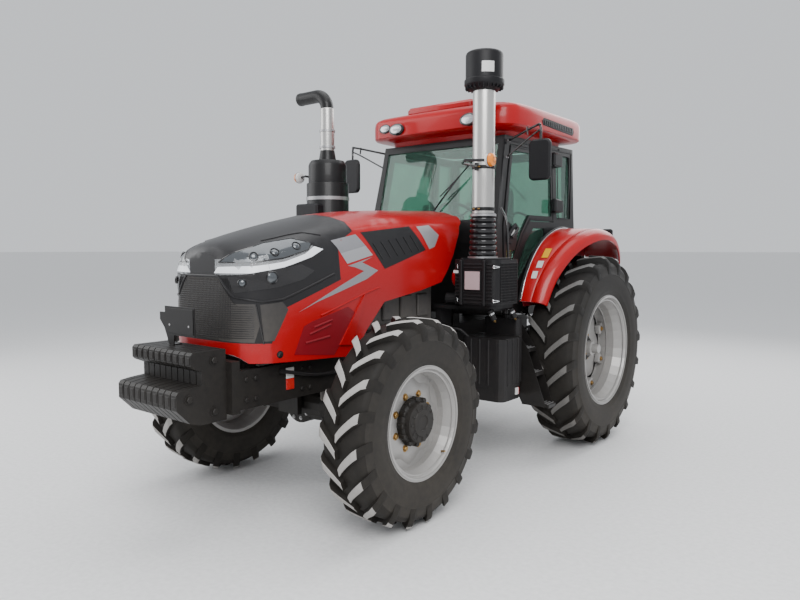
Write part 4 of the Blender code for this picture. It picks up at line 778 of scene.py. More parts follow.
ARROW = side_of(.45, [(.72, 1.93), (.86, 1.76), (.93, 1.78), (.99, 1.87), (.88, 1.945)])


def normal_at(spot):
    """The place on the skin nearest a spot, and the way out of it."""
    around, z = wrap(spot)
    at = on_hood(around, z, 0.0)
    return at, on_hood(around, z, .02) - at


def lamp_disc(piece, spot, radius):
    """A small round lamp with its bezel, set square to the skin."""
    place = facing(*normal_at(spot))
    bezel = [(-.004, radius), (.006, radius), (.01, radius * .9), (.004, radius * .8)]
    piece.turned("gloss", bezel, place, 32)
    piece.turned("dark_silver", [(.004, radius * .8), (.008, radius * .62), (.011, radius * .3)], place, 32)


def build_grille(trim):
    """The mesh of fine bars in the nose, with the frames round it."""
    trim.add(skin(GRILLE, .002), "core")
    trim.add(skin(SIDE_GRILLE, .002), "core")
    for z in spaced(1.228, .0135, 26):
        width = .385 if z < 1.43 else .3 - (z - 1.43) * 1.1
        bar = [(0.0, -.875, z), (width * .55, -.875, z), (width, -.79 if z < 1.43 else -.86, z)]
        trim.add(line_on(bar, .0022, .002), "nose")
    for k in range(20):
        x = .014 * k
        trim.add(line_on([(x, -.875, 1.215), (x, -.875, 1.585)], .0018, .002), "nose", both=x > 0)
    trim.add(line_on([(.392, -.78, 1.432), (.408, -.736, 1.19)], .005), "gloss")
    trim.add(line_on([(0, -.875, 1.6), (.165, -.875, 1.6), (.278, -.858, 1.475), (.413, -.737, 1.445),
                      (.446, -.618, 1.455), (.469, -.194, 1.599)], .008), "nose")


def build_lamps(trim):
    """Upper lamp glass with its light band, and the two small lamps below it."""
    trim.add(skin(LAMP_RECESS, .003), "gloss")
    lamp_disc(trim, (.335, -.834, 1.56), .026)
    lamp_disc(trim, (.435, -.686, 1.59), .04)
    trim.add(skin(LED_BAND, .006), "led")
    trim.add(skin(LAMP_GLASS, .004), "dark_silver")
    trim.add(line_on(LAMP_GLASS + LAMP_GLASS[:1], .005, .002), "gloss")
    for y, z in ((-.8, 1.715), (-.64, 1.742), (-.48, 1.78)):
        lamp_disc(trim, (.4, y, z), .03)
    trim.add(line_on([(.287, -.648, 1.812), (.372, -.368, 1.867), (.421, -.261, 1.851)], .006), "nose")


def build_panels():
    """The side of the hood: stamped panel, blade, stripes and vent."""
    panels = Piece(both=True)
    panels.add(skin(LOUVRE_PANEL, .002), "red_dark")
    for ends in (((-.406, 1.221), (-.22, 1.27)), ((-.438, 1.169), (-.231, 1.192)),
                 ((-.37, 1.262), (-.21, 1.298))):
        panels.add(line_on(side_of(.46, ends), .008, .001), "red_dark")
    panels.add(skin(BLADE, .012), "red")
    panels.add(line_on(side_of(.46, [(-.307, 1.334), (.103, 1.453), (.272, 1.492)]), .006), "red")
    for patch, lift, material in ((PLATE_TOP, .0015, "grey_decal"), (PLATE_LOW, .0015, "silver_decal"),
                                  (ZIGZAG, .0015, "grey_decal"), (VENT_PANEL, .002, "nose"),
                                  (ARROW, .0015, "silver_decal")):
        panels.add(skin(patch, lift), material)
    for k in range(6):
        y, drop = .2 + .085 * k, .012 * k
        panels.add(line_on(side_of(.45, [(y, 1.8 + drop), (y + .1, 1.69 + drop)]), .004, .003), "gloss")
    for part in bolt(*normal_at((.435, -.634, 1.117)), .016, .008, 20):
        panels.add(part, "gloss")
    panels.done("hood_panels", "hood")


def build_hood():
    for name, material, slot in (("hood", "red", "red_paint"), ("hood_nose", "nose", "nose_plastic")):
        shell = Piece()
        shell.add(SHELLS[name], material)
        shell.done(f"{name}_shell", "hood", (name,), angle=33)
    trim = Piece(both=True)
    build_grille(trim)
    build_lamps(trim)
    trim.done("nose_trim", "hood")
    build_panels()


# Front end ---------------------------------------------------------------------------------------

def build_front():
    """Bolts and pads of the weights, the plate, the frame rails' bolts, markers and a pipe."""
    front = Piece()
    low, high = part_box("front_weights")
    for x, way in ((low.x - .002, -1), (high.x + .002, 1)):
        front.bolts([(x, -2.19, 1.12), (x, -2.19, .82), (x, -2.36, .915)], (way, 0, 0), "cast", .02)
    for x in spaced(-.279, .062, 10):
        front.block("cast", about(x, .018), (-2.441, -2.432), (.88, .935), .003)
        front.block("cast", about(x, .02), (-2.346, -2.338), (1.108, 1.15), .003)
    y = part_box("plate_bracket")[0].y
    front.bolts([(-.1, y, 1.3), (.1, y, 1.3)], (0, -1, 0), "steel", .008)
    front.block("black", (-.145, .143), (y - .004, y - .001), (1.25, 1.402), .001)
    front.both = True
    for y in (-2.0, -1.93, -1.55, -1.48, -.7, -.62, -.25, -.18):
        front.bolts([(.361, y, .86), (.361, y, .985)], (1, 0, 0), "cast", .014)
    front.block("tail", (.36, .366), (-1.685, -1.62), (.87, .94), .001)
    front.block("white", (.36, .366), (-1.685, -1.62), (.942, 1.01), .001)
    pipe = [(.38, -1.75, 1.0), (.385, -1.35, .93), (.375, -.85, .97), (.38, -.3, .92)]
    front.tube("plastic", pipe, .012)
    front.done("front_frame_trim", "chassis")


def build_front_axle():
    """Ribs, differential cover, steering cylinder and its hoses."""
    axle = Piece(both=True)
    for x in (.2, .4, .58):
        axle.block("cast", about(x, .012), (-1.24, -1.084), (.575, .755), .006)
    cover = [(-.1, .12), (-.08, .15), (.08, .15), (.1, .12)]
    axle.lathe("cast", cover, (0, *FRONT_AXLE), "Y", 40, both=False)
    axle.bolts(circle(10, .115, (0, -1.262, FRONT_AXLE[1]), "Y"), (0, -1, 0), "steel", .01, both=False)
    axle.bar("cast", [(.1, -1.02, .6), (.47, -1.02, .6)], .03, 16)
    axle.bar("chrome", [(.46, -1.02, .6), (.56, -1.02, .6)], .014, 12)
    for hose in ([(.14, -1.03, .63), (.2, -.98, .78), (.3, -.85, .92)],
                 [(.5, -1.03, .63), (.46, -.96, .76), (.36, -.8, .9)]):
        axle.tube("plastic", hose, .009)
    axle.done("front_axle_trim", "chassis")


def build_steering():
    """Kingpin caps with their bolts, and the tie rod's sleeves and nuts."""
    for label, side in SIDES:
        knuckle = Piece()
        for z, way in ((.795, 1), (.535, -1)):
            pin = Vector((.78, FRONT_AXLE[0], z))
            knuckle.lathe("cast", [(-.012, .04), (0.0, .052), (.012, .04)], pin, "Z", 28)
            spots = [pin + Vector((.034 * cos(a), .034 * sin(a), .012 * way)) for a in (.8, 2.4, 3.9, 5.5)]
            knuckle.bolts(spots, (0, 0, way), "steel", .007)
        knuckle.lathe("cast", [(-.008, .1), (.008, .1)], (.872, *FRONT_AXLE), "X", 40)
        knuckle.done(f"knuckle_trim_{label}", f"knuckle_{label}", side=side)
    tie = Piece(both=True)
    tie.bar("cast", [(.6, -.922, .553), (.74, -.922, .553)], .026, 16)
    for x in (.575, .59):
        tie.lathe("steel", [(-.006, .03), (.006, .03)], (x, -.922, .553), "X", 6)
    tie.done("tie_rod_trim", "tie_rod")


def build_engine():
    """What shows of the engine between the frame and the hood."""
    engine = Piece(both=True)
    for y in spaced(-1.3, .215, 6):
        engine.block("engine", (.262, .3), (y, y + .16), (.72, .86), .015)
        engine.bolts([(.3, y + .03, .79), (.3, y + .13, .79)], (1, 0, 0), "steel", .009)
        engine.block("engine", (.265, .292), (y + .01, y + .15), (1.22, 1.4), .012)
    for z, radius in ((1.06, .02), (1.14, .012), (1.46, .01)):
        engine.tube("plastic", [(.292, -1.3, z), (.3, -.8, z + .02), (.292, -.2, z - .01)], radius, 12)
    engine.both = False
    oil_filter = [(-.1, .05), (-.09, .058), (.09, .058), (.1, .045)]
    starter = [(-.07, .06), (-.06, .068), (.06, .068), (.07, .055)]
    engine.lathe("silver", oil_filter, (.33, -.6, 1.1), "Z", 32)
    engine.lathe("steel", starter, (-.34, -.75, 1.12), "Y", 32)
    engine.done("engine_trim", "chassis")


# Cab ---------------------------------------------------------------------------------------------

def side_plane():
    """Frame of the cab's left side: p runs back, q runs up and t points out."""
    back = Vector((.055, 1.38, 0)).normalized()
    up = Vector((-.055, 0, 1.469)).normalized()
    out = back.cross(up).normalized()
    up = out.cross(back).normalized()
    matrix = Matrix((back, up, out)).transposed().to_4x4()
    matrix.translation = (.7, CAB_FRONT, 1.25)
    return matrix


PLANE = side_plane()
OUTWARD = PLANE.to_3x3() @ Vector((0, 0, 1))


def on_side(points, out=.006):
    return [PLANE @ Vector((p, q, out)) for p, q in points]


def roof_ring(z, inset, radius):
    """A rounded rectangle at one height, bowed at the front."""
    x1, y0, y1 = .8 - inset, CAB_FRONT + .045 + inset, CAB_REAR + .06 - inset
    ring = []
    for cx, cy, start in ((x1 - radius, y1 - radius, 0.0), (-x1 + radius, y1 - radius, pi / 2),
                          (-x1 + radius, y0 + radius, pi), (x1 - radius, y0 + radius, 1.5 * pi)):
        for k in range(9):
            a = start + pi / 2 * k / 8
            ring.append((cx + radius * cos(a), cy + radius * sin(a)))
    dense = []
    for i, (ax, ay) in enumerate(ring):
        bx, by = ring[(i + 1) % len(ring)]
        steps = 8 if (i + 1) % 9 == 0 else 1
        dense += [(ax + (bx - ax) * k / steps, ay + (by - ay) * k / steps) for k in range(steps)]
    verts = []
    for x, y in dense:
        ahead = max(0.0, (CAB_FRONT + .4 - y) / .4)
        verts.append(Vector((x * (1 - .06 * ahead), y - .035 * ahead * (1 - (x / x1) ** 2), z)))
    return verts


ROOF_RINGS = [(2.722, .16, .12), (2.762, .15, .12), (2.772, .06, .13), (2.78, .02, .14), (2.795, .004, .15),
              (2.84, 0.0, .16), (2.9, 0.0, .16), (2.94, .005, .16), (2.96, .018, .16), (2.976, .045, .16),
              (2.988, .085, .16), (2.998, .14, .16), (3.006, .21, .15), (3.012, .29, .15), (3.015, .37, .14)]


def build_roof():
    """Rounded shell with its raised panel, seams, side vents, work lamps and beacon."""
    roof = Piece()
    rings = [roof_ring(*row) for row in ROOF_RINGS]
    verts = [v for ring in rings for v in ring]
    roof.add((verts, ring_faces(len(rings), len(rings[0]))), "red")
    raised = [(-.34, .45), (.34, .45), (.44, .62), (.4, 1.5), (-.4, 1.5), (-.44, .62)]
    roof.prism("red", raised, "Z", 2.97, 3.049, .03)
    roof.both = True
    for y in (.62, 1.15):
        roof.bar("red_dark", [(.794, y, 2.79), (.796, y + .48, 2.784)], .0035, 8)
    vent = [(.9, 2.835), (1.49, 2.815), (1.52, 2.845), (1.5, 2.885), (.92, 2.9), (.88, 2.87)]
    roof.prism("plastic", vent, "X", .79, .804, .003)
    for y in spaced(.925, .036, 16):
        roof.block("gloss", (.803, .809), (y, y + .01), (2.838, 2.88), .002)
    for spot, size in (((.39, .352, 2.85), .085), ((.54, .375, 2.872), .07)):
        place = spun(spot, radians(82), "X") @ Matrix.Diagonal((1.0, .62, 1.0, 1.0))
        roof.turned("gloss", [(-.03, size * .95), (0.0, size), (.01, size), (.014, size * .9)], place, 36)
        roof.turned("silver", [(.01, size * .88), (.015, size * .7), (.018, size * .3)], place, 36)
    for x in (.4, .6):
        roof.block("gloss", about(x, .065), (1.772, 1.792), (2.835, 2.905), .01)
        roof.block("silver", about(x, .052), (1.79, 1.796), (2.846, 2.894), .006)
    beacon = [(0.0, .055), (.05, .05), (.075, .035), (.082, .01)]
    roof.lathe("amber", beacon, (-.45, 1.45, 3.005), "Z", 32, both=False)
    roof.done("roof_shell", "chassis", ("roof",))


def strip(points, width, out, depth=.01):
    """A flat strip along a line in the cab's side plane."""
    path = [Vector(p).to_3d() for p in points]
    verts = []
    for i, point in enumerate(path):
        ahead = (path[min(i + 1, len(path) - 1)] - path[max(i - 1, 0)]).normalized()
        across = Vector((-ahead.y, ahead.x, 0)) * width / 2
        for shift, high in ((-1, 0.0), (-1, depth), (1, depth), (1, 0.0)):
            spot = point + across * shift
            verts.append(PLANE @ Vector((spot.x, spot.y, out + high)))
    return verts, [f[::-1] for f in ring_faces(len(path), 4)]


DOOR_EDGE = [(.112, .155), (.112, .7), (.254, 1.385), (.962, 1.385), (.962, .778), (.548, .778),
             (.412, .628), (.305, .455), (.224, .302), (.2, .155)]


def build_doors():
    """Seal, outer handle with its sticker, hinge covers and inner grab bar."""
    for label, side in SIDES:
        door = Piece()
        door.add(strip(DOOR_EDGE + DOOR_EDGE[:1], .014, .004, .003), "plastic")
        handle = [(.155, .575), (.19, .545), (.3, .64), (.32, .7), (.28, .735), (.175, .66)]
        door.add(placed(prism(handle, "Z", .006, .026, .008), PLANE), "plastic")
        door.tube("gloss", on_side([(.185, .61), (.235, .64), (.29, .69)], .036), .012, 12)
        sticker = [(.185, .625), (.2, .612), (.262, .662), (.246, .678)]
        door.add(placed(prism(sticker, "Z", .0262, .0275, 0.0), PLANE), "white")
        for q in (.88, 1.3):
            cover = [(.895, q - .035), (1.03, q - .035), (1.04, q + .015), (1.03, q + .085), (.905, q + .095)]
            door.add(placed(prism(cover, "Z", .008, .068, .014), PLANE), "plastic")
        door.tube("plastic", on_side([(.3, .8), (.45, .83), (.62, .8)], -.055), .011, 12)
        for p in (.31, .61):
            door.bar("plastic", on_side([(p, .8)], -.055) + on_side([(p, .79)], -.02), .009, 8)
        door.done(f"door_trim_{label}", f"door_{label}", side=side)


def add_cab_outside(cab):
    """Glass seals, screws, wipers, rear window fittings and number plate lamp panel."""
    cab.add(strip([(-.03, .04), (.02, .74), (.165, 1.43), (1.345, 1.43), (1.3, .8)], .01, .001, .004),
            "plastic", both=True)
    quarter = [(1.06, .8), (1.06, 1.39), (1.31, 1.39), (1.25, .8), (1.06, .8)]
    cab.add(strip(quarter, .012, .001, .004), "plastic", both=True)
    for p, q in ((.02, .3), (.02, .5), (.18, 1.4), (.7, 1.44), (1.1, 1.44)):
        cab.bolts(on_side([(p, q)], .003), OUTWARD, "black", .007, both=True)
    cab.bar("gloss", [(-.1, .3, 1.86), (-.1, .318, 1.93), (.28, .372, 2.38)], .008, 10)
    cab.bar("plastic", [(.1, .352, 2.22), (.28, .377, 2.38), (.44, .392, 2.54)], .006, 8)
    cab.block("plastic", (-.16, -.04), (.275, .325), (1.83, 1.88), .01)
    cab.bar("gloss", [(-.15, 1.735, 2.6), (.2, 1.728, 2.25)], .007, 8)
    for x, y, z, bevel in (((-.2, -.1), (1.722, 1.76), (2.57, 2.63), .01),
                           ((-.545, -.455), (1.715, 1.745), (2.615, 2.665), .008),
                           ((.455, .545), (1.715, 1.745), (2.615, 2.665), .008),
                           ((-.06, .06), (1.705, 1.75), (1.96, 2.02), .01),
                           ((-.62, .62), (1.718, 1.724), (1.6, 1.605), .001)):
        cab.block("plastic", x, y, z, bevel)
    for x in (.3, .52):
        cab.bolts([(x, 1.722, 1.56), (x, 1.722, 1.86)], (0, 1, 0), "steel", .009, both=True)
    cab.block("black", (-.24, .24), (1.72, 1.727), (1.66, 1.78), .004)
    cab.block("white", (-.21, .21), (1.726, 1.73), (1.675, 1.765), .002)


def add_cab_inside(cab):
    """Roof console, floor mat with its ribs, side boxes and hand levers."""
    cab.block("plastic", (-.3, .3), (.6, .95), (2.64, 2.7), .02)
    for x in (-.18, .18):
        cab.lathe("gloss", [(0.0, .045), (-.01, .045), (-.012, .03)], (x, .72, 2.64), "Z", 24)
    cab.block("plastic", (-.6, .6), (.4, .82), (1.29, 1.302), .004)
    for y in spaced(.425, .05, 8):
        cab.block("plastic", (-.56, .56), (y, y + .015), (1.3, 1.306), .002)
    for x in (.62, -.62):
        cab.block("plastic", about(x, .055), (.98, 1.52), (1.5, 1.76), .03)
    knob = [(-.02, .01), (-.012, .02), (.012, .02), (.02, .01)]
    for k in range(4):
        y = 1.04 + .09 * k
        cab.bar("steel", [(-.6, y + .01, 1.74), (-.6, y, 1.86)], .007, 10)
        cab.lathe("gloss" if k else "tail", knob, (-.6, y, 1.87), "Z", 16)


def build_cab_trim():
    cab = Piece()
    add_cab_outside(cab)
    add_cab_inside(cab)
    cab.done("cab_trim", "chassis")


COLUMN = spun((0, .798, 2.06), radians(-38), "X")


def build_console():
    """Dash tower with its gauges, column, stalks and pedals."""
    console = Piece()
    tower = [(.402, 1.262), (.64, 1.262), (.63, 1.6), (.642, 1.72), (.68, 1.862), (.545, 2.004), (.44, 1.985)]
    console.prism("plastic", tower, "X", -.162, .162, .02)
    console.turned("plastic", [(-.36, .06), (-.3, .05), (-.08, .04), (-.062, .034)], COLUMN, 32)
    dash = spun((0, .61, 1.945), radians(-46), "X")
    console.add(placed(block((-.135, .135), (-.085, .085), (-.004, .006), .003), dash), "gloss")
    for x, y, size in ((-.07, 0.0, .042), (.07, 0.0, .042), (0.0, .045, .018), (0.0, -.045, .018)):
        gauge = dash @ Matrix.Translation((x, y, 0))
        bezel = [(.004, size), (.01, size), (.01, size * .86), (.006, size * .84)]
        console.turned("steel", bezel, gauge, 32)
        console.turned("white", [(.006, size * .84), (.0065, size * .1)], gauge, 32)
    for x, bend in ((-.1, -.16), (.1, .17)):
        console.tube("gloss", [(x * .3, .75, 1.99), (x, .76, 2.0), (bend, .77, 2.02)], .007, 10)
    for x in (-.24, -.14, .2):
        console.block("cast", about(x, .035), (.6, .625), (1.38, 1.47), .006)
        console.bar("cast", [(x, .61, 1.43), (x, .56, 1.62)], .009, 8)
    console.done("console_trim", "chassis", ("console",))


def build_steering_wheel():
    """Padded rim, three spokes, hub and spinner knob."""
    wheel = Piece()
    rim = [*circle(24, .195, (0, 0, 0), "Z"), (.195, 0, 0)]
    wheel.add(placed(tube(rim, .0145, 16, 4), COLUMN), "plastic")
    hub = [(-.058, .034), (-.02, .052), (.006, .052), (.014, .044), (.016, .01)]
    wheel.turned("plastic", hub, COLUMN, 40)
    wheel.turned("silver", [(.015, .03), (.018, .026), (.018, .005)], COLUMN, 32)
    for k in range(3):
        a = pi / 2 + 2 * pi * k / 3
        spoke = [(r * cos(a), r * sin(a), z) for r, z in ((.03, -.008), (.11, -.01), (.19, 0.0))]
        wheel.add(placed(tube(spoke, .01, 12), COLUMN), "plastic")
    knob = COLUMN @ Matrix.Translation((.15, -.125, 0.0))
    wheel.turned("gloss", [(.012, .008), (.022, .018), (.045, .022), (.06, .012)], knob, 24)
    wheel.done("steering_wheel_look", "steering_wheel", ("steering_wheel",))


def pillow(x, y, z, swell, rows=22):
    """A stuffed block: rounded all over, fuller in the middle, with a sewn channel."""
    bm = bmesh.new()
    bmesh.ops.create_cube(bm)
    bmesh.ops.subdivide_edges(bm, edges=bm.edges[:], cuts=rows, use_grid_fill=True)
    size = [b - a for a, b in (x, y, z)]
    middle = Vector([(a + b) / 2 for a, b in (x, y, z)])
    for v in bm.verts:
        u = v.co * 2
        away = Vector([abs(c) ** 6 for c in u])
        shrink = max(1.0, (away.x + away.y + away.z)) ** (1 / 6)
        u = u / shrink
        full = 1 + swell * max(0.0, (1 - u.x ** 2)) * max(0.0, (1 - u.y ** 2) + (1 - u.z ** 2)) * .5
        groove = .012 * (1 if abs(abs(u.x) - .62) < .035 else 0)
        spread = Vector((u.x * size[0] / 2, u.y * size[1] / 2 * full, u.z * size[2] / 2 * full))
        v.co = spread * (1 - groove) + middle
    verts = [v.co.copy() for v in bm.verts]
    faces = [[v.index for v in f.verts] for f in bm.faces]
    bm.free()
    return verts, faces


def stuffed(piece):
    """Swells the cover a little as cloth over foam, held at its underside."""
    group = piece.vertex_groups.new(name="held")
    lowest = min(v.co.z for v in piece.data.vertices)
    held = [v.index for v in piece.data.vertices if v.co.z < lowest + .02]
    group.add(held, 1.0, "REPLACE")
    cloth = piece.modifiers.new("cloth", "CLOTH")
    cloth.settings.quality = 4
    cloth.settings.use_pressure = True
    cloth.settings.uniform_pressure_force = 4.0
    cloth.settings.vertex_group_mass = "held"
    cloth.settings.tension_stiffness = 60
    cloth.settings.compression_stiffness = 60
    cloth.settings.effector_weights.gravity = 0.0
    cloth.point_cache.frame_start = 1
    cloth.point_cache.frame_end = 8
    for number in range(1, 9):
        bpy.context.scene.frame_set(number)
    bpy.context.view_layer.update()
    settled = piece.evaluated_get(bpy.context.evaluated_depsgraph_get()).data
    moved = [v.co.copy() for v in settled.vertices]
    piece.modifiers.remove(cloth)
    for v, target in zip(piece.data.vertices, moved):
        shift = target - v.co
        v.co += shift * min(1.0, .006 / max(shift.length, 1e-6))
    bpy.context.scene.frame_set(1)


def build_seat_frame():
    """Base, bellows, pan, back shell, armrests and lever under the cushions."""
    seat = Piece()
    seat.block("plastic", (-.2, .2), (1.02, 1.36), (1.5, 1.545), .01)
    for k in range(7):
        z = 1.555 + .024 * k
        wide = .175 if k % 2 else .155
        fold = (1.19 - wide * .9, 1.19 + wide * .9)
        seat.block("plastic", (-wide, wide), fold, about(z, .012), .008)
    seat.block("plastic", (-.235, .235), (.965, 1.43), (1.715, 1.765), .015)
    back = [(1.34, 1.7), (1.44, 1.72), (1.47, 2.3), (1.44, 2.34), (1.4, 2.3)]
    seat.prism("plastic", back, "X", -.2, .2, .015)
    seat.block("cloth_side", (.247, .3), (1.06, 1.38), (1.93, 1.985), .018, both=True)
    bracket = [(.265, 1.36, 1.94), (.265, 1.4, 1.9), (.21, 1.41, 1.86)]
    seat.tube("plastic", bracket, .014, 12, both=True)
    seat.tube("gloss", [(.245, 1.0, 1.74), (.285, .99, 1.745), (.29, 1.1, 1.76)], .009, 10)
    seat.done("seat_frame_look", "chassis", ("seat",))


def build_cushion(name, x, y, z):
    """One pad: woven middle, plainer sides, swelled as cloth over foam."""
    verts, faces = pillow(x, y, z, .04)
    edge = (x[1] - x[0]) * .31
    middle, outer = [], []
    for face in faces:
        at = sum((verts[i].x for i in face), 0.0) / len(face)
        (middle if abs(at) < edge else outer).append(face)
    cover = Piece()
    cover.add((verts, middle), "cloth")
    cover.add((verts, outer), "cloth_side")
    piece = cover.done(name, "chassis", angle=80)
    stuffed(piece)


def build_seat():
    build_seat_frame()
    build_cushion("seat_cushion", (-.235, .235), (.955, 1.36), (1.762, 1.86))
    build_cushion("seat_back", (-.225, .225), (1.335, 1.435), (1.865, 2.385))


# Fenders, tanks and stacks -----------------------------------------------------------------------

FENDER = [(60, .925, 1.0), (52, .955, 1.015), (44, .985, 1.035), (34, 1.02, 1.07), (24, 1.05, 1.11),
          (14, 1.07, 1.15), (4, 1.082, 1.18), (-6, 1.08, 1.19), (-16, 1.06, 1.185), (-25, 1.02, 1.165),
          (-32, .975, 1.14)]
FENDER_WALL = .768


def fender_spot(angle, radius, x):
    """The spot on the fender at an angle back from upright round the rear axle."""
    turn = radians(angle)
    return Vector((x, REAR_AXLE[0] - radius * sin(turn), REAR_AXLE[1] + radius * cos(turn)))


def fender_band():
    """The wheel cover: a flat inner part, a crease, then the rounded outer lip."""
    rows = smooth_path(FENDER, 6)
    verts = []
    for angle, radius, outer in rows:
        lip = .045 + .045 * max(0.0, cos(radians(angle * 1.2)))
        top = [(FENDER_WALL, .018), (FENDER_WALL + .03, .018), (outer - .135, .012), (outer - .125, .006),
               (outer - .11, .012), (outer - .075, .01), (outer - .048, 0.0), (outer - .026, -.012),
               (outer - .012, -.026), (outer - .004, -.042), (outer, -.056), (outer, -lip)]
        under = [(outer - .012, -lip), (outer - .014, -.052), (outer - .04, -.02), (outer - .1, -.002),
                 (FENDER_WALL, .006)]
        verts += [fender_spot(angle, radius + r, x) for x, r in top + under]
    return verts, [f[::-1] for f in ring_faces(len(rows), len(verts) // len(rows))]


def fender_label(start, end, low, high):
    """A thin sticker on the fender between two angles and two widths."""
    verts = []
    for lift in (.0205, .0215):
        for angle in (start, (start + end) / 2, end):
            radius = .925 + (60 - angle) / 26 * .095
            verts += [fender_spot(angle, radius + lift, low), fender_spot(angle, radius + lift, high)]
    faces = [[0, 1, 3, 2], [2, 3, 5, 4], [6, 8, 9, 7], [8, 10, 11, 9], [0, 6, 7, 1], [4, 5, 11, 10],
             [0, 2, 8, 6], [2, 4, 10, 8], [1, 7, 9, 3], [3, 9, 11, 5]]
    return verts, faces


def build_fenders():
    """Wheel covers with their inner walls, seams, stickers and rear lamps."""
    rows = smooth_path(FENDER, 4)
    rim = [fender_spot(a, r + .012, 0.0).yz for a, r, _ in rows[2:-2]]
    low = REAR_AXLE[1] + .42
    wall = [(rim[0][0] + .05, low), *rim, (REAR_AXLE[0] + .45, low + .3), (REAR_AXLE[0] + .3, low)]
    seam = smooth_path(FENDER[:8], 4)
    for label, side in SIDES:
        fender = Piece()
        fender.add(fender_band(), "red")
        fender.prism("red_dark", wall, "X", FENDER_WALL - .001, FENDER_WALL + .012, 0.0)
        strip_path = [fender_spot(a, r + .026, FENDER_WALL + .006) for a, r, _ in seam]
        fender.bar("plastic", strip_path, .011, 10)
        edge = [fender_spot(a, r + .022, FENDER_WALL + .02) for a, r, _ in seam]
        fender.bar("silver", edge, .0035, 8)
        for material, *place in (("yellow", 36, 30, .865, .925), ("white", 42, 38, .85, .905),
                                 ("white", 48, 44, .835, .885)):
            fender.add(fender_label(*place), material)
        fender.block("plastic", (1.02, 1.12), (1.69, 1.735), (1.853, 1.949), .014)
        fender.block("tail", (1.03, 1.11), (1.733, 1.744), (1.904, 1.942), .006)
        fender.block("amber", (1.03, 1.11), (1.733, 1.744), (1.86, 1.9), .006)
        spots = [(FENDER_WALL + .012, y, z) for y, z in ((1.25, 1.5), (1.55, 1.5), (1.4, 1.36))]
        fender.bolts(spots, (1, 0, 0), "steel", .01)
        fender.done(f"fender_{label}_look", "chassis", (f"fender_{label}",), side)


def add_front_slats(box, face):
    """Ribs, label and clips on the front of the air filter box."""
    for level in spaced(1.345, .027, 12):
        for start, end in ((.565, .612), (.64, .82), (.85, .905)):
            if start == .64 and 1.435 < level < 1.6:
                continue
            box.block("plastic", (start, end), (face - .007, face + .01), about(level, .006), .003)
    for x in (.625, .835):
        box.block("plastic", about(x, .012), about(face, .02), (1.325, 1.675), .006)
        box.block("plastic", about(x, .01), (face, .288), (1.675, 1.692), .005)
    box.block("plastic", (.655, .805), about(face, .01), (1.44, 1.595), .003)
    box.block("pink", (.662, .798), (face - .012, face - .009), (1.447, 1.588), .0005)
    box.block("white", (.556, .6), (face - .011, face - .006), (1.572, 1.594), .0005)


def add_side_slats(box, face):
    """Ribs on the side and the lid of the air filter box."""
    for y in spaced(face + .07, .02, 13):
        box.block("plastic", (.93, .946), about(y, .0035), (1.345, 1.655), .002)
        box.block("plastic", (.59, .89), about(y, .0035), (1.678, 1.688), .002)
    for level in spaced(1.35, .0215, 15):
        box.block("plastic", (.93, .945), (face + .06, .228), about(level, .003), .002)


def build_air_box():
    """The filter box's ribs and clips, the cap on the other side, and the drains below."""
    box = Piece()
    face = -.092
    add_front_slats(box, face)
    add_side_slats(box, face)
    for level in (1.365, 1.625):
        clip = [(.905, -.004, 0), (.925, -.012, .008), (.948, .03, 0), (.925, -.01, -.008), (.905, -.004, 0)]
        latch = [(.6, -.006, 0), (.6, -.022, .012), (.6, -.018, -.014)]
        for path in (clip, latch):
            box.tube("chrome", [(x, face + y, level + z) for x, y, z in path], .004, 8)
    cap = [(-.03, .085), (0.0, .088), (.03, .075), (.048, .045), (.052, .01)]
    box.add(flipped(lathe(cap, (-.53, .03, 1.53), "X", 40)), "red")
    for spot in (Vector((.86, -.05, 1.285)), Vector((.9, .2, 1.285))):
        for material, start, end, radius, sides in (
                ("plastic", (0, 0, 0), (.03, .02, -.07), .022, 14),
                ("chrome", (.008, .005, -.018), (.013, .009, -.03), .025, 14),
                ("brass", (.03, .02, -.07), (.01, .06, -.085), .011, 10)):
            box.bar(material, [spot + Vector(start), spot + Vector(end)], radius, sides)
    box.done("air_filter_trim", "chassis")


def build_intake():
    """Pleated hose, clamps and the bright pipe above it."""
    hose = Piece()
    x, y = STACK
    profile = [(1.681, .112), (1.7, .115)]
    for k in range(7):
        low, swell = 1.705 + .044 * k, .118 - .0025 * k
        profile += [(low, swell - .014), (low + .01, swell - .003), (low + .022, swell),
                    (low + .034, swell - .003), (low + .044, swell - .014)]
    profile += [(2.02, .1), (2.042, .098)]
    hose.lathe("gloss", profile, (x, y, 0), "Z", 56)
    lower = [(1.683, .117), (1.684, .12), (1.702, .12), (1.703, .116)]
    upper = [(2.018, .101), (2.019, .104), (2.038, .104), (2.039, .1)]
    for clamp in (lower, upper):
        hose.lathe("steel", clamp, (x, y, 0), "Z", 48, cap=False)
    hose.lathe("brushed", [(2.04, .0875), (2.42, .0875), (2.99, .0875)], (x, y, 0), "Z", 64)
    for level in (2.075, 2.4):
        hose.lathe("black", band(.014, .001, .089, .003), (x, y, level), "Z", 56, cap=False)
        hose.bar("brass", [(x - .03, y - .1, level), (x + .03, y - .1, level)], .006, 10)
        hose.block("black", about(x, .014), (y - .108, y - .088), about(level, .013), .003)
    hose.done("intake_look", "chassis", ("intake_pipe",))


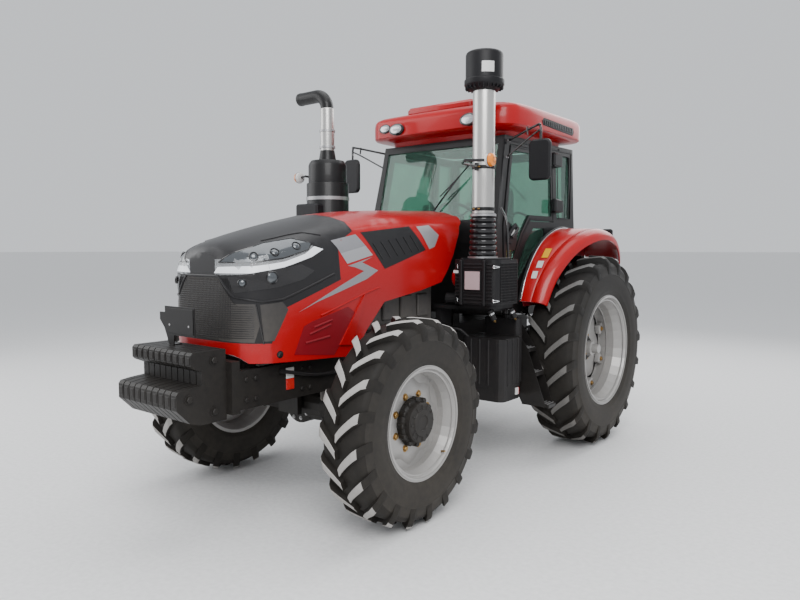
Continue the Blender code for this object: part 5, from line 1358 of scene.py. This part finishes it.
def build_precleaner():
    """Drum on the intake pipe, with a finned inlet under its rim and a blank label."""
    cap = Piece()
    x, y = STACK
    drum = [(2.99, .092), (3.0, .112), (3.018, .136), (3.034, .155), (3.038, .157), (3.072, .157),
            (3.076, .154), (3.08, .147), (3.262, .147), (3.272, .145), (3.282, .139), (3.288, .13),
            (3.29, .118), (3.288, .02)]
    cap.lathe("plastic", drum, (x, y, 0), "Z", 72)
    for k in range(24):
        fin = block((.1, .15), (-.0025, .0025), (3.004, 3.03), .001)
        cap.add(placed(fin, spun((x, y, 0), 2 * pi * k / 24, "Z")), "plastic")
    label = []
    for a in spaced(-1.15, .11, 7):
        label += [Vector((x + .1475 * cos(a), y + .1475 * sin(a), height)) for height in (3.11, 3.19)]
    cap.add((label, [[2 * k, 2 * k + 2, 2 * k + 3, 2 * k + 1] for k in range(6)]), "white")
    cap.done("precleaner_look", "chassis", ("precleaner",))


def build_canister():
    """Exhaust canister with its bands, heat shield box and brackets."""
    can = Piece()
    x, y = CANISTER
    shell = [(1.4, .12), (1.42, .155), (1.45, .185), (2.325, .185), (2.334, .182), (2.338, .168),
             (2.485, .168), (2.505, .162), (2.53, .145), (2.536, .1), (2.54, .076), (2.62, .062)]
    can.lathe("black", shell, (x, y, 0), "Z", 64)
    for level in (1.56, 1.86, 2.2):
        can.lathe("steel", band(.016, .002, .186, .004), (x, y, level), "Z", 64, cap=False)
        can.block("steel", (x - .2, x - .17), about(y, .02), about(level, .014), .004)
    can.block("plastic", (x - .17, x + .1), (y - .235, y - .1), (1.7, 2.15), .016)
    for level in (1.84, 2.0):
        can.block("gloss", (x - .13, x + .06), (y - .239, y - .23), about(level, .012), .003)
    can.block("black", (x - .1, -.2903), about(y, .08), (1.37, 1.42), .006)
    can.block("black", (-.345, -.2903), (CAB_FRONT - .34, CAB_FRONT - .2), (1.0, 1.4), .006)
    can.block("black", (-.345, -.3), (y - .07, CAB_FRONT - .21), (1.37, 1.419), .006)
    can.done("canister_look", "chassis", ("exhaust_canister",))


def build_stack():
    """Exhaust pipe with its bright sleeve, bend and open mouth."""
    stack = Piece()
    x, y = CANISTER
    bend, level, mouth = .125, 2.98, Vector((x - .3, y, 3.105))
    angles = [pi / 2 * k / 10 for k in range(1, 11)]
    path = [(x, y, 2.62), (x, y, level)]
    path += [(x - bend * (1 - cos(a)), y, level + bend * sin(a)) for a in angles]
    stack.bar("black", [*path, mouth], .056, 40)
    bore = spun(mouth, radians(-90), "Y")
    lip = [(-.002, .056), (.02, .058), (.04, .056), (.038, .052), (-.05, .051)]
    stack.turned("black", lip, bore, 40, cap=False)
    stack.turned("gloss", [(.006, .05), (.008, .01)], bore, 40)
    sleeve = [(2.62, .06), (2.8, .064), (2.8, .06), (2.98, .06), (2.984, .057)]
    stack.lathe("brushed", sleeve, (x, y, 0), "Z", 48, cap=False)
    for level in (2.65, 2.79):
        stack.lathe("steel", band(.01, .001, .066, .003), (x, y, level), "Z", 48, cap=False)
        stack.bolts([(x + .07, y, level)], (1, 0, 0), "steel", .007)
    stack.done("stack_look", "chassis", ("exhaust_stack",))


def build_mirror(label, side):
    """Mirror head with its glass, and its two arms from the corner post."""
    mirror = Piece()
    cx, cy, low, high = 1.02, CAB_FRONT + .1, 2.31, 2.635
    corners = []
    for quarter, (ax, az) in enumerate(((.05, high - .045), (-.05, high - .045),
                                        (-.05, low + .045), (.05, low + .045))):
        for k in range(9):
            a = pi / 2 * (quarter + k / 8)
            corners.append((cx + ax + .045 * cos(a), az + .045 * sin(a)))
    mirror.prism("plastic", corners, "Y", cy - .03, cy + .016, .014)
    middle = (low + high) / 2
    inner = [(cx + (px - cx) * .9, middle + (pz - middle) * .94) for px, pz in corners]
    mirror.prism("mirror", inner, "Y", cy + .012, cy + .0185, .002)
    roots = ((.2, 1.42), (.17, 1.28))
    upper, lower = on_side(roots, .012)
    mirror.tube("gloss", [upper, (cx - .05, cy, 2.745), (cx - .005, cy, 2.735), (cx, cy, 2.6)], .01, 12)
    mirror.tube("gloss", [lower, (cx - .03, cy, 2.7), (cx - .008, cy, 2.66)], .007, 10)
    mirror.bar("gloss", [(cx - .12, cy - .01, 2.742), (cx - .11, cy - .01, 2.68)], .007, 8)
    for p, q in roots:
        mirror.bolts(on_side([(p - .012, q), (p + .012, q)], .016), OUTWARD, "steel", .006)
    mirror.done(f"mirror_{label}_look", "chassis", (f"mirror_{label}",), side)


def build_mirrors():
    """Both mirrors and the three-part lenses of the turn lamps."""
    lens = (("white", [(-.031, .02), (-.03, .03), (-.023, .044), (0.0, .049)]),
            ("amber", [(0.0, .049), (.022, .044), (.032, .028), (.035, .012)]),
            ("gloss", [(-.002, .05), (.002, .05)]))
    for label, side in SIDES:
        build_mirror(label, side)
        lamp = Piece()
        for material, profile in lens:
            lamp.lathe(material, profile, (1.0, -.292, 2.4), "X", 40)
        lamp.done(f"turn_lens_{label}", "chassis", side=side)
        dress("gloss", f"turn_lamp_{label}")


def build_tanks():
    """Ribs, straps, markers and filler cap of the tank and battery box."""
    tank = Piece(both=True)
    for x in (.66, .74, .82):
        tank.block("plastic", about(x, .01), (-.01, .02), (.685, 1.052), .008)
    for y in (.08, .16, .24):
        tank.block("plastic", (.93, .958), about(y, .01), (.685, 1.052), .008)
    tank.block("white", (.935, .956), (.205, .245), (.6, .655), .002)
    tank.block("tail", (.935, .957), (.245, .252), (.6, .655), .001)
    for y in (.055, .27):
        tank.block("black", (.555, .957), about(y, .018), (1.058, 1.064), .002)
    tank.both = False
    filler = Vector((.8, .323, 0))
    tank.lathe("gloss", [(1.225, .04), (1.236, .048), (1.268, .048), (1.274, .042)], filler, "Z", 36)
    for k in range(12):
        grip = block((.044, .052), (-.004, .004), (1.238, 1.266), .002)
        tank.add(placed(grip, spun(filler, 2 * pi * k / 12, "Z")), "gloss")
    pipe = [(.62, .02, 1.06), (.55, -.02, 1.12), (.42, -.05, 1.1), (.3, -.08, 1.02)]
    tank.tube("plastic", pipe, .012, 12, both=True)
    tank.done("tank_trim", "chassis")


def build_steps():
    """Slats and edges of the treads, and the grab bars."""
    steps = Piece(both=True)
    for height, outer in ((.5, 1.15), (.75, 1.04), (.94, .97)):
        for x in spaced(outer - .225, .03, 8):
            steps.block("steel", about(x, .004), (.392, .506), (height + .01, height + .018), .002)
        lip = (outer - .006, outer + .003)
        steps.block("black", lip, (.388, .51), (height - .018, height + .014), .003)
    steps.tube("gloss", [(.735, .372, 1.26), (.79, .35, 1.45), (.77, .35, 1.95), (.7, .366, 2.1)], .011, 12)
    steps.done("step_trim", "chassis")


# Back end ----------------------------------------------------------------------------------------

def build_back():
    """Bearing cover, splined shaft under its shield, valve couplings and axle flanges."""
    back = Piece()
    shaft = (0, 1.69, .74)
    cover = [(0.0, .105), (.02, .105), (.024, .095), (.024, .02)]
    back.lathe("cast", cover, (0, 1.666, .74), "Y", 48)
    back.bolts(circle(8, .086, shaft, "Y"), (0, 1, 0), "steel", .009)
    back.lathe("chrome", [(0.0, .02), (.12, .02), (.125, .016)], shaft, "Y", 24)
    for x, _, z in circle(8, .019, shaft, "Y"):
        back.bar("chrome", [(x, 1.7, z), (x, 1.81, z)], .004, 6)
    shield = [(-.14, .84), (-.13, .88), (.13, .88), (.14, .84),
              (.132, .84), (.122, .872), (-.122, .872), (-.132, .84)]
    back.prism("black", shield, "Y", 1.666, 1.86, 0.0)
    for x in (-.2, -.13, .13, .2):
        back.bolts([(x, 1.668, .66), (x, 1.668, 1.03)], (0, 1, 0), "steel", .011)
    for k, x in enumerate(spaced(-.24, .055, 4)):
        back.block("cast", about(x, .022), (1.62, 1.7), (1.115, 1.16), .006)
        back.bar("brass", [(x, 1.69, 1.138), (x, 1.735, 1.138)], .013, 14)
        back.bar("tail" if k % 2 else "gloss", [(x, 1.733, 1.138), (x, 1.748, 1.138)], .017, 14)
    back.both = True
    for x in (.44, .6):
        back.lathe("cast", band(.01, .002, .165, .007), (x, *REAR_AXLE), "X", 48)
        back.bolts(circle(12, .158, (x + .01, *REAR_AXLE), "X"), (1, 0, 0), "steel", .009)
    back.done("rear_axle_trim", "chassis")


def build_top_link():
    """Locking collars on the threaded ends, and the turning handle."""
    link = Piece()
    slope = .1277
    for y in (1.745, 2.175):
        rise = (y - 1.718) * slope
        link.bar("steel", [(0, y, .968 + rise), (0, y + .03, .972 + rise)], .031, 20)
    link.tube("steel", [(0, 1.9, .985), (.045, 1.92, 1.0), (.05, 1.98, 1.005), (0, 2.02, 1.001)], .006, 10)
    link.done("top_link_trim", "chassis")


def build_hitch():
    """Eyes, collars and crank of the lift rods, balls of the lower links, bosses of the arms."""
    ball = [(-.026, .016), (-.024, .03), (-.012, .036), (.012, .036), (.016, .03), (.018, .016)]
    for label, side in SIDES:
        rod_trim = Piece()
        rod_trim.lathe("steel", [(-.019, .026), (.019, .026)], (.392, 1.868, .52), "X", 28)
        rod_trim.lathe("chrome", [(-.03, .01), (.03, .01)], (.392, 1.868, .52), "X", 20)
        for z in (.68, .86):
            rod_trim.lathe("steel", [(-.016, .032), (.016, .032)], (.391, 1.868, z), "Z", 24)
        rod_trim.tube("plastic", [(.391, 1.868, .9), (.43, 1.89, .93), (.445, 1.895, .98)], .007, 10)
        rod_trim.done(f"lift_rod_trim_{label}", f"lift_rod_{label}", side=side)
        lower = Piece()
        lower.lathe("chrome", ball, (.36, 2.389, .52), "X", 32)
        lower.bolts([(.372, 2.1, .535), (.372, 2.1, .505), (.372, 1.62, .535)], (1, 0, 0), "steel", .008)
        lower.done(f"lower_link_trim_{label}", f"lower_link_{label}", side=side)
    arms = Piece(both=True)
    for x in (.3, .17):
        arms.lathe("steel", [(-.012, .05), (.012, .05)], (x, 1.508, 1.16), "X", 32)
    arms.done("lift_arm_trim", "lift_arms")


# Studio ------------------------------------------------------------------------------------------

def build_studio():
    """Pale floor and sky with four soft lights."""
    data = bpy.data.meshes.new("floor")
    size = 400.0
    data.from_pydata([(-size, -size, -.002), (size, -size, -.002), (size, size, -.002), (-size, size, -.002)],
                     [], [(0, 1, 2, 3)])
    data.materials.append(make_material("floor_paper", (.88, .88, .88), .7, dust=0.0, grain=30.0, bump=.02))
    floor = bpy.data.objects.new("floor", data)
    bpy.context.scene.collection.objects.link(floor)
    world = bpy.data.worlds.new("studio")
    world.use_nodes = True
    set_inputs(world.node_tree.nodes["Background"], {"Color": (.93, .96, 1.0, 1.0), "Strength": .85})
    bpy.context.scene.world = world
    lights = (("key", (5.0, -5.5, 6.5), 5.0, 620.0), ("fill", (-6.5, -4.0, 4.5), 6.0, 260.0),
              ("back", (1.0, 7.0, 6.0), 6.0, 320.0), ("top", (0.0, 0.0, 8.5), 6.0, 260.0))
    for name, spot, width, power in lights:
        lamp = bpy.data.lights.new(name, "AREA")
        lamp.size = width
        lamp.energy = power
        holder = bpy.data.objects.new(name, lamp)
        holder.location = spot
        holder.rotation_euler = (Vector((0, 0, 1.2)) - Vector(spot)).to_track_quat("-Z", "Y").to_euler()
        bpy.context.scene.collection.objects.link(holder)


def build_camera():
    """The viewpoint of the photo."""
    data = bpy.data.cameras.new("camera")
    data.lens = 30.6
    data.sensor_width = 36.0
    camera = bpy.data.objects.new("camera", data)
    camera.location = (3.595, -4.549, 1.762)
    camera.rotation_euler = (pi / 2 - .075, 0.0, .678)
    bpy.context.scene.collection.objects.link(camera)
    bpy.context.scene.camera = camera


DRESS = {
    "red": ("fender_left", "fender_right", "roof", "hood"),
    "nose": ("hood_nose",),
    "black": ("cab_frame", "door_left", "door_right", "plate_bracket", "steps_left", "steps_right",
              "turn_lamp_left", "turn_lamp_right", "lift_arms", "top_link",
              "lower_link_left", "lower_link_right", "lift_rod_left", "lift_rod_right", "exhaust_canister"),
    "cast": ("front_frame", "front_weights", "front_axle", "knuckle_left", "knuckle_right", "tie_rod",
             "rear_axle", "gearbox", "drawbar"),
    "plastic": ("air_filter", "fuel_tank", "battery_box", "console", "steering_wheel", "precleaner"),
    "engine": ("engine_block",),
    "brushed": ("intake_pipe", "exhaust_stack"),
    "lens": ("headlight_left", "headlight_right"),
    "glass": ("windscreen", "rear_window", "door_left_glass", "door_right_glass", "quarter_glass_left",
              "quarter_glass_right", "lower_glass_left", "lower_glass_right"),
    "cloth": ("seat",),
}

STEPS = (build_wheels, build_hood, build_front, build_front_axle, build_steering, build_engine, build_roof,
         build_doors, build_cab_trim, build_console, build_steering_wheel, build_seat, build_fenders,
         build_air_box, build_intake, build_precleaner, build_canister, build_stack, build_mirrors,
         build_tanks, build_steps, build_back, build_top_link, build_hitch)


def build_all():
    for material, names in DRESS.items():
        dress(material, *names)
    for step in STEPS:
        step()
    build_studio()
    build_camera()


build_all()
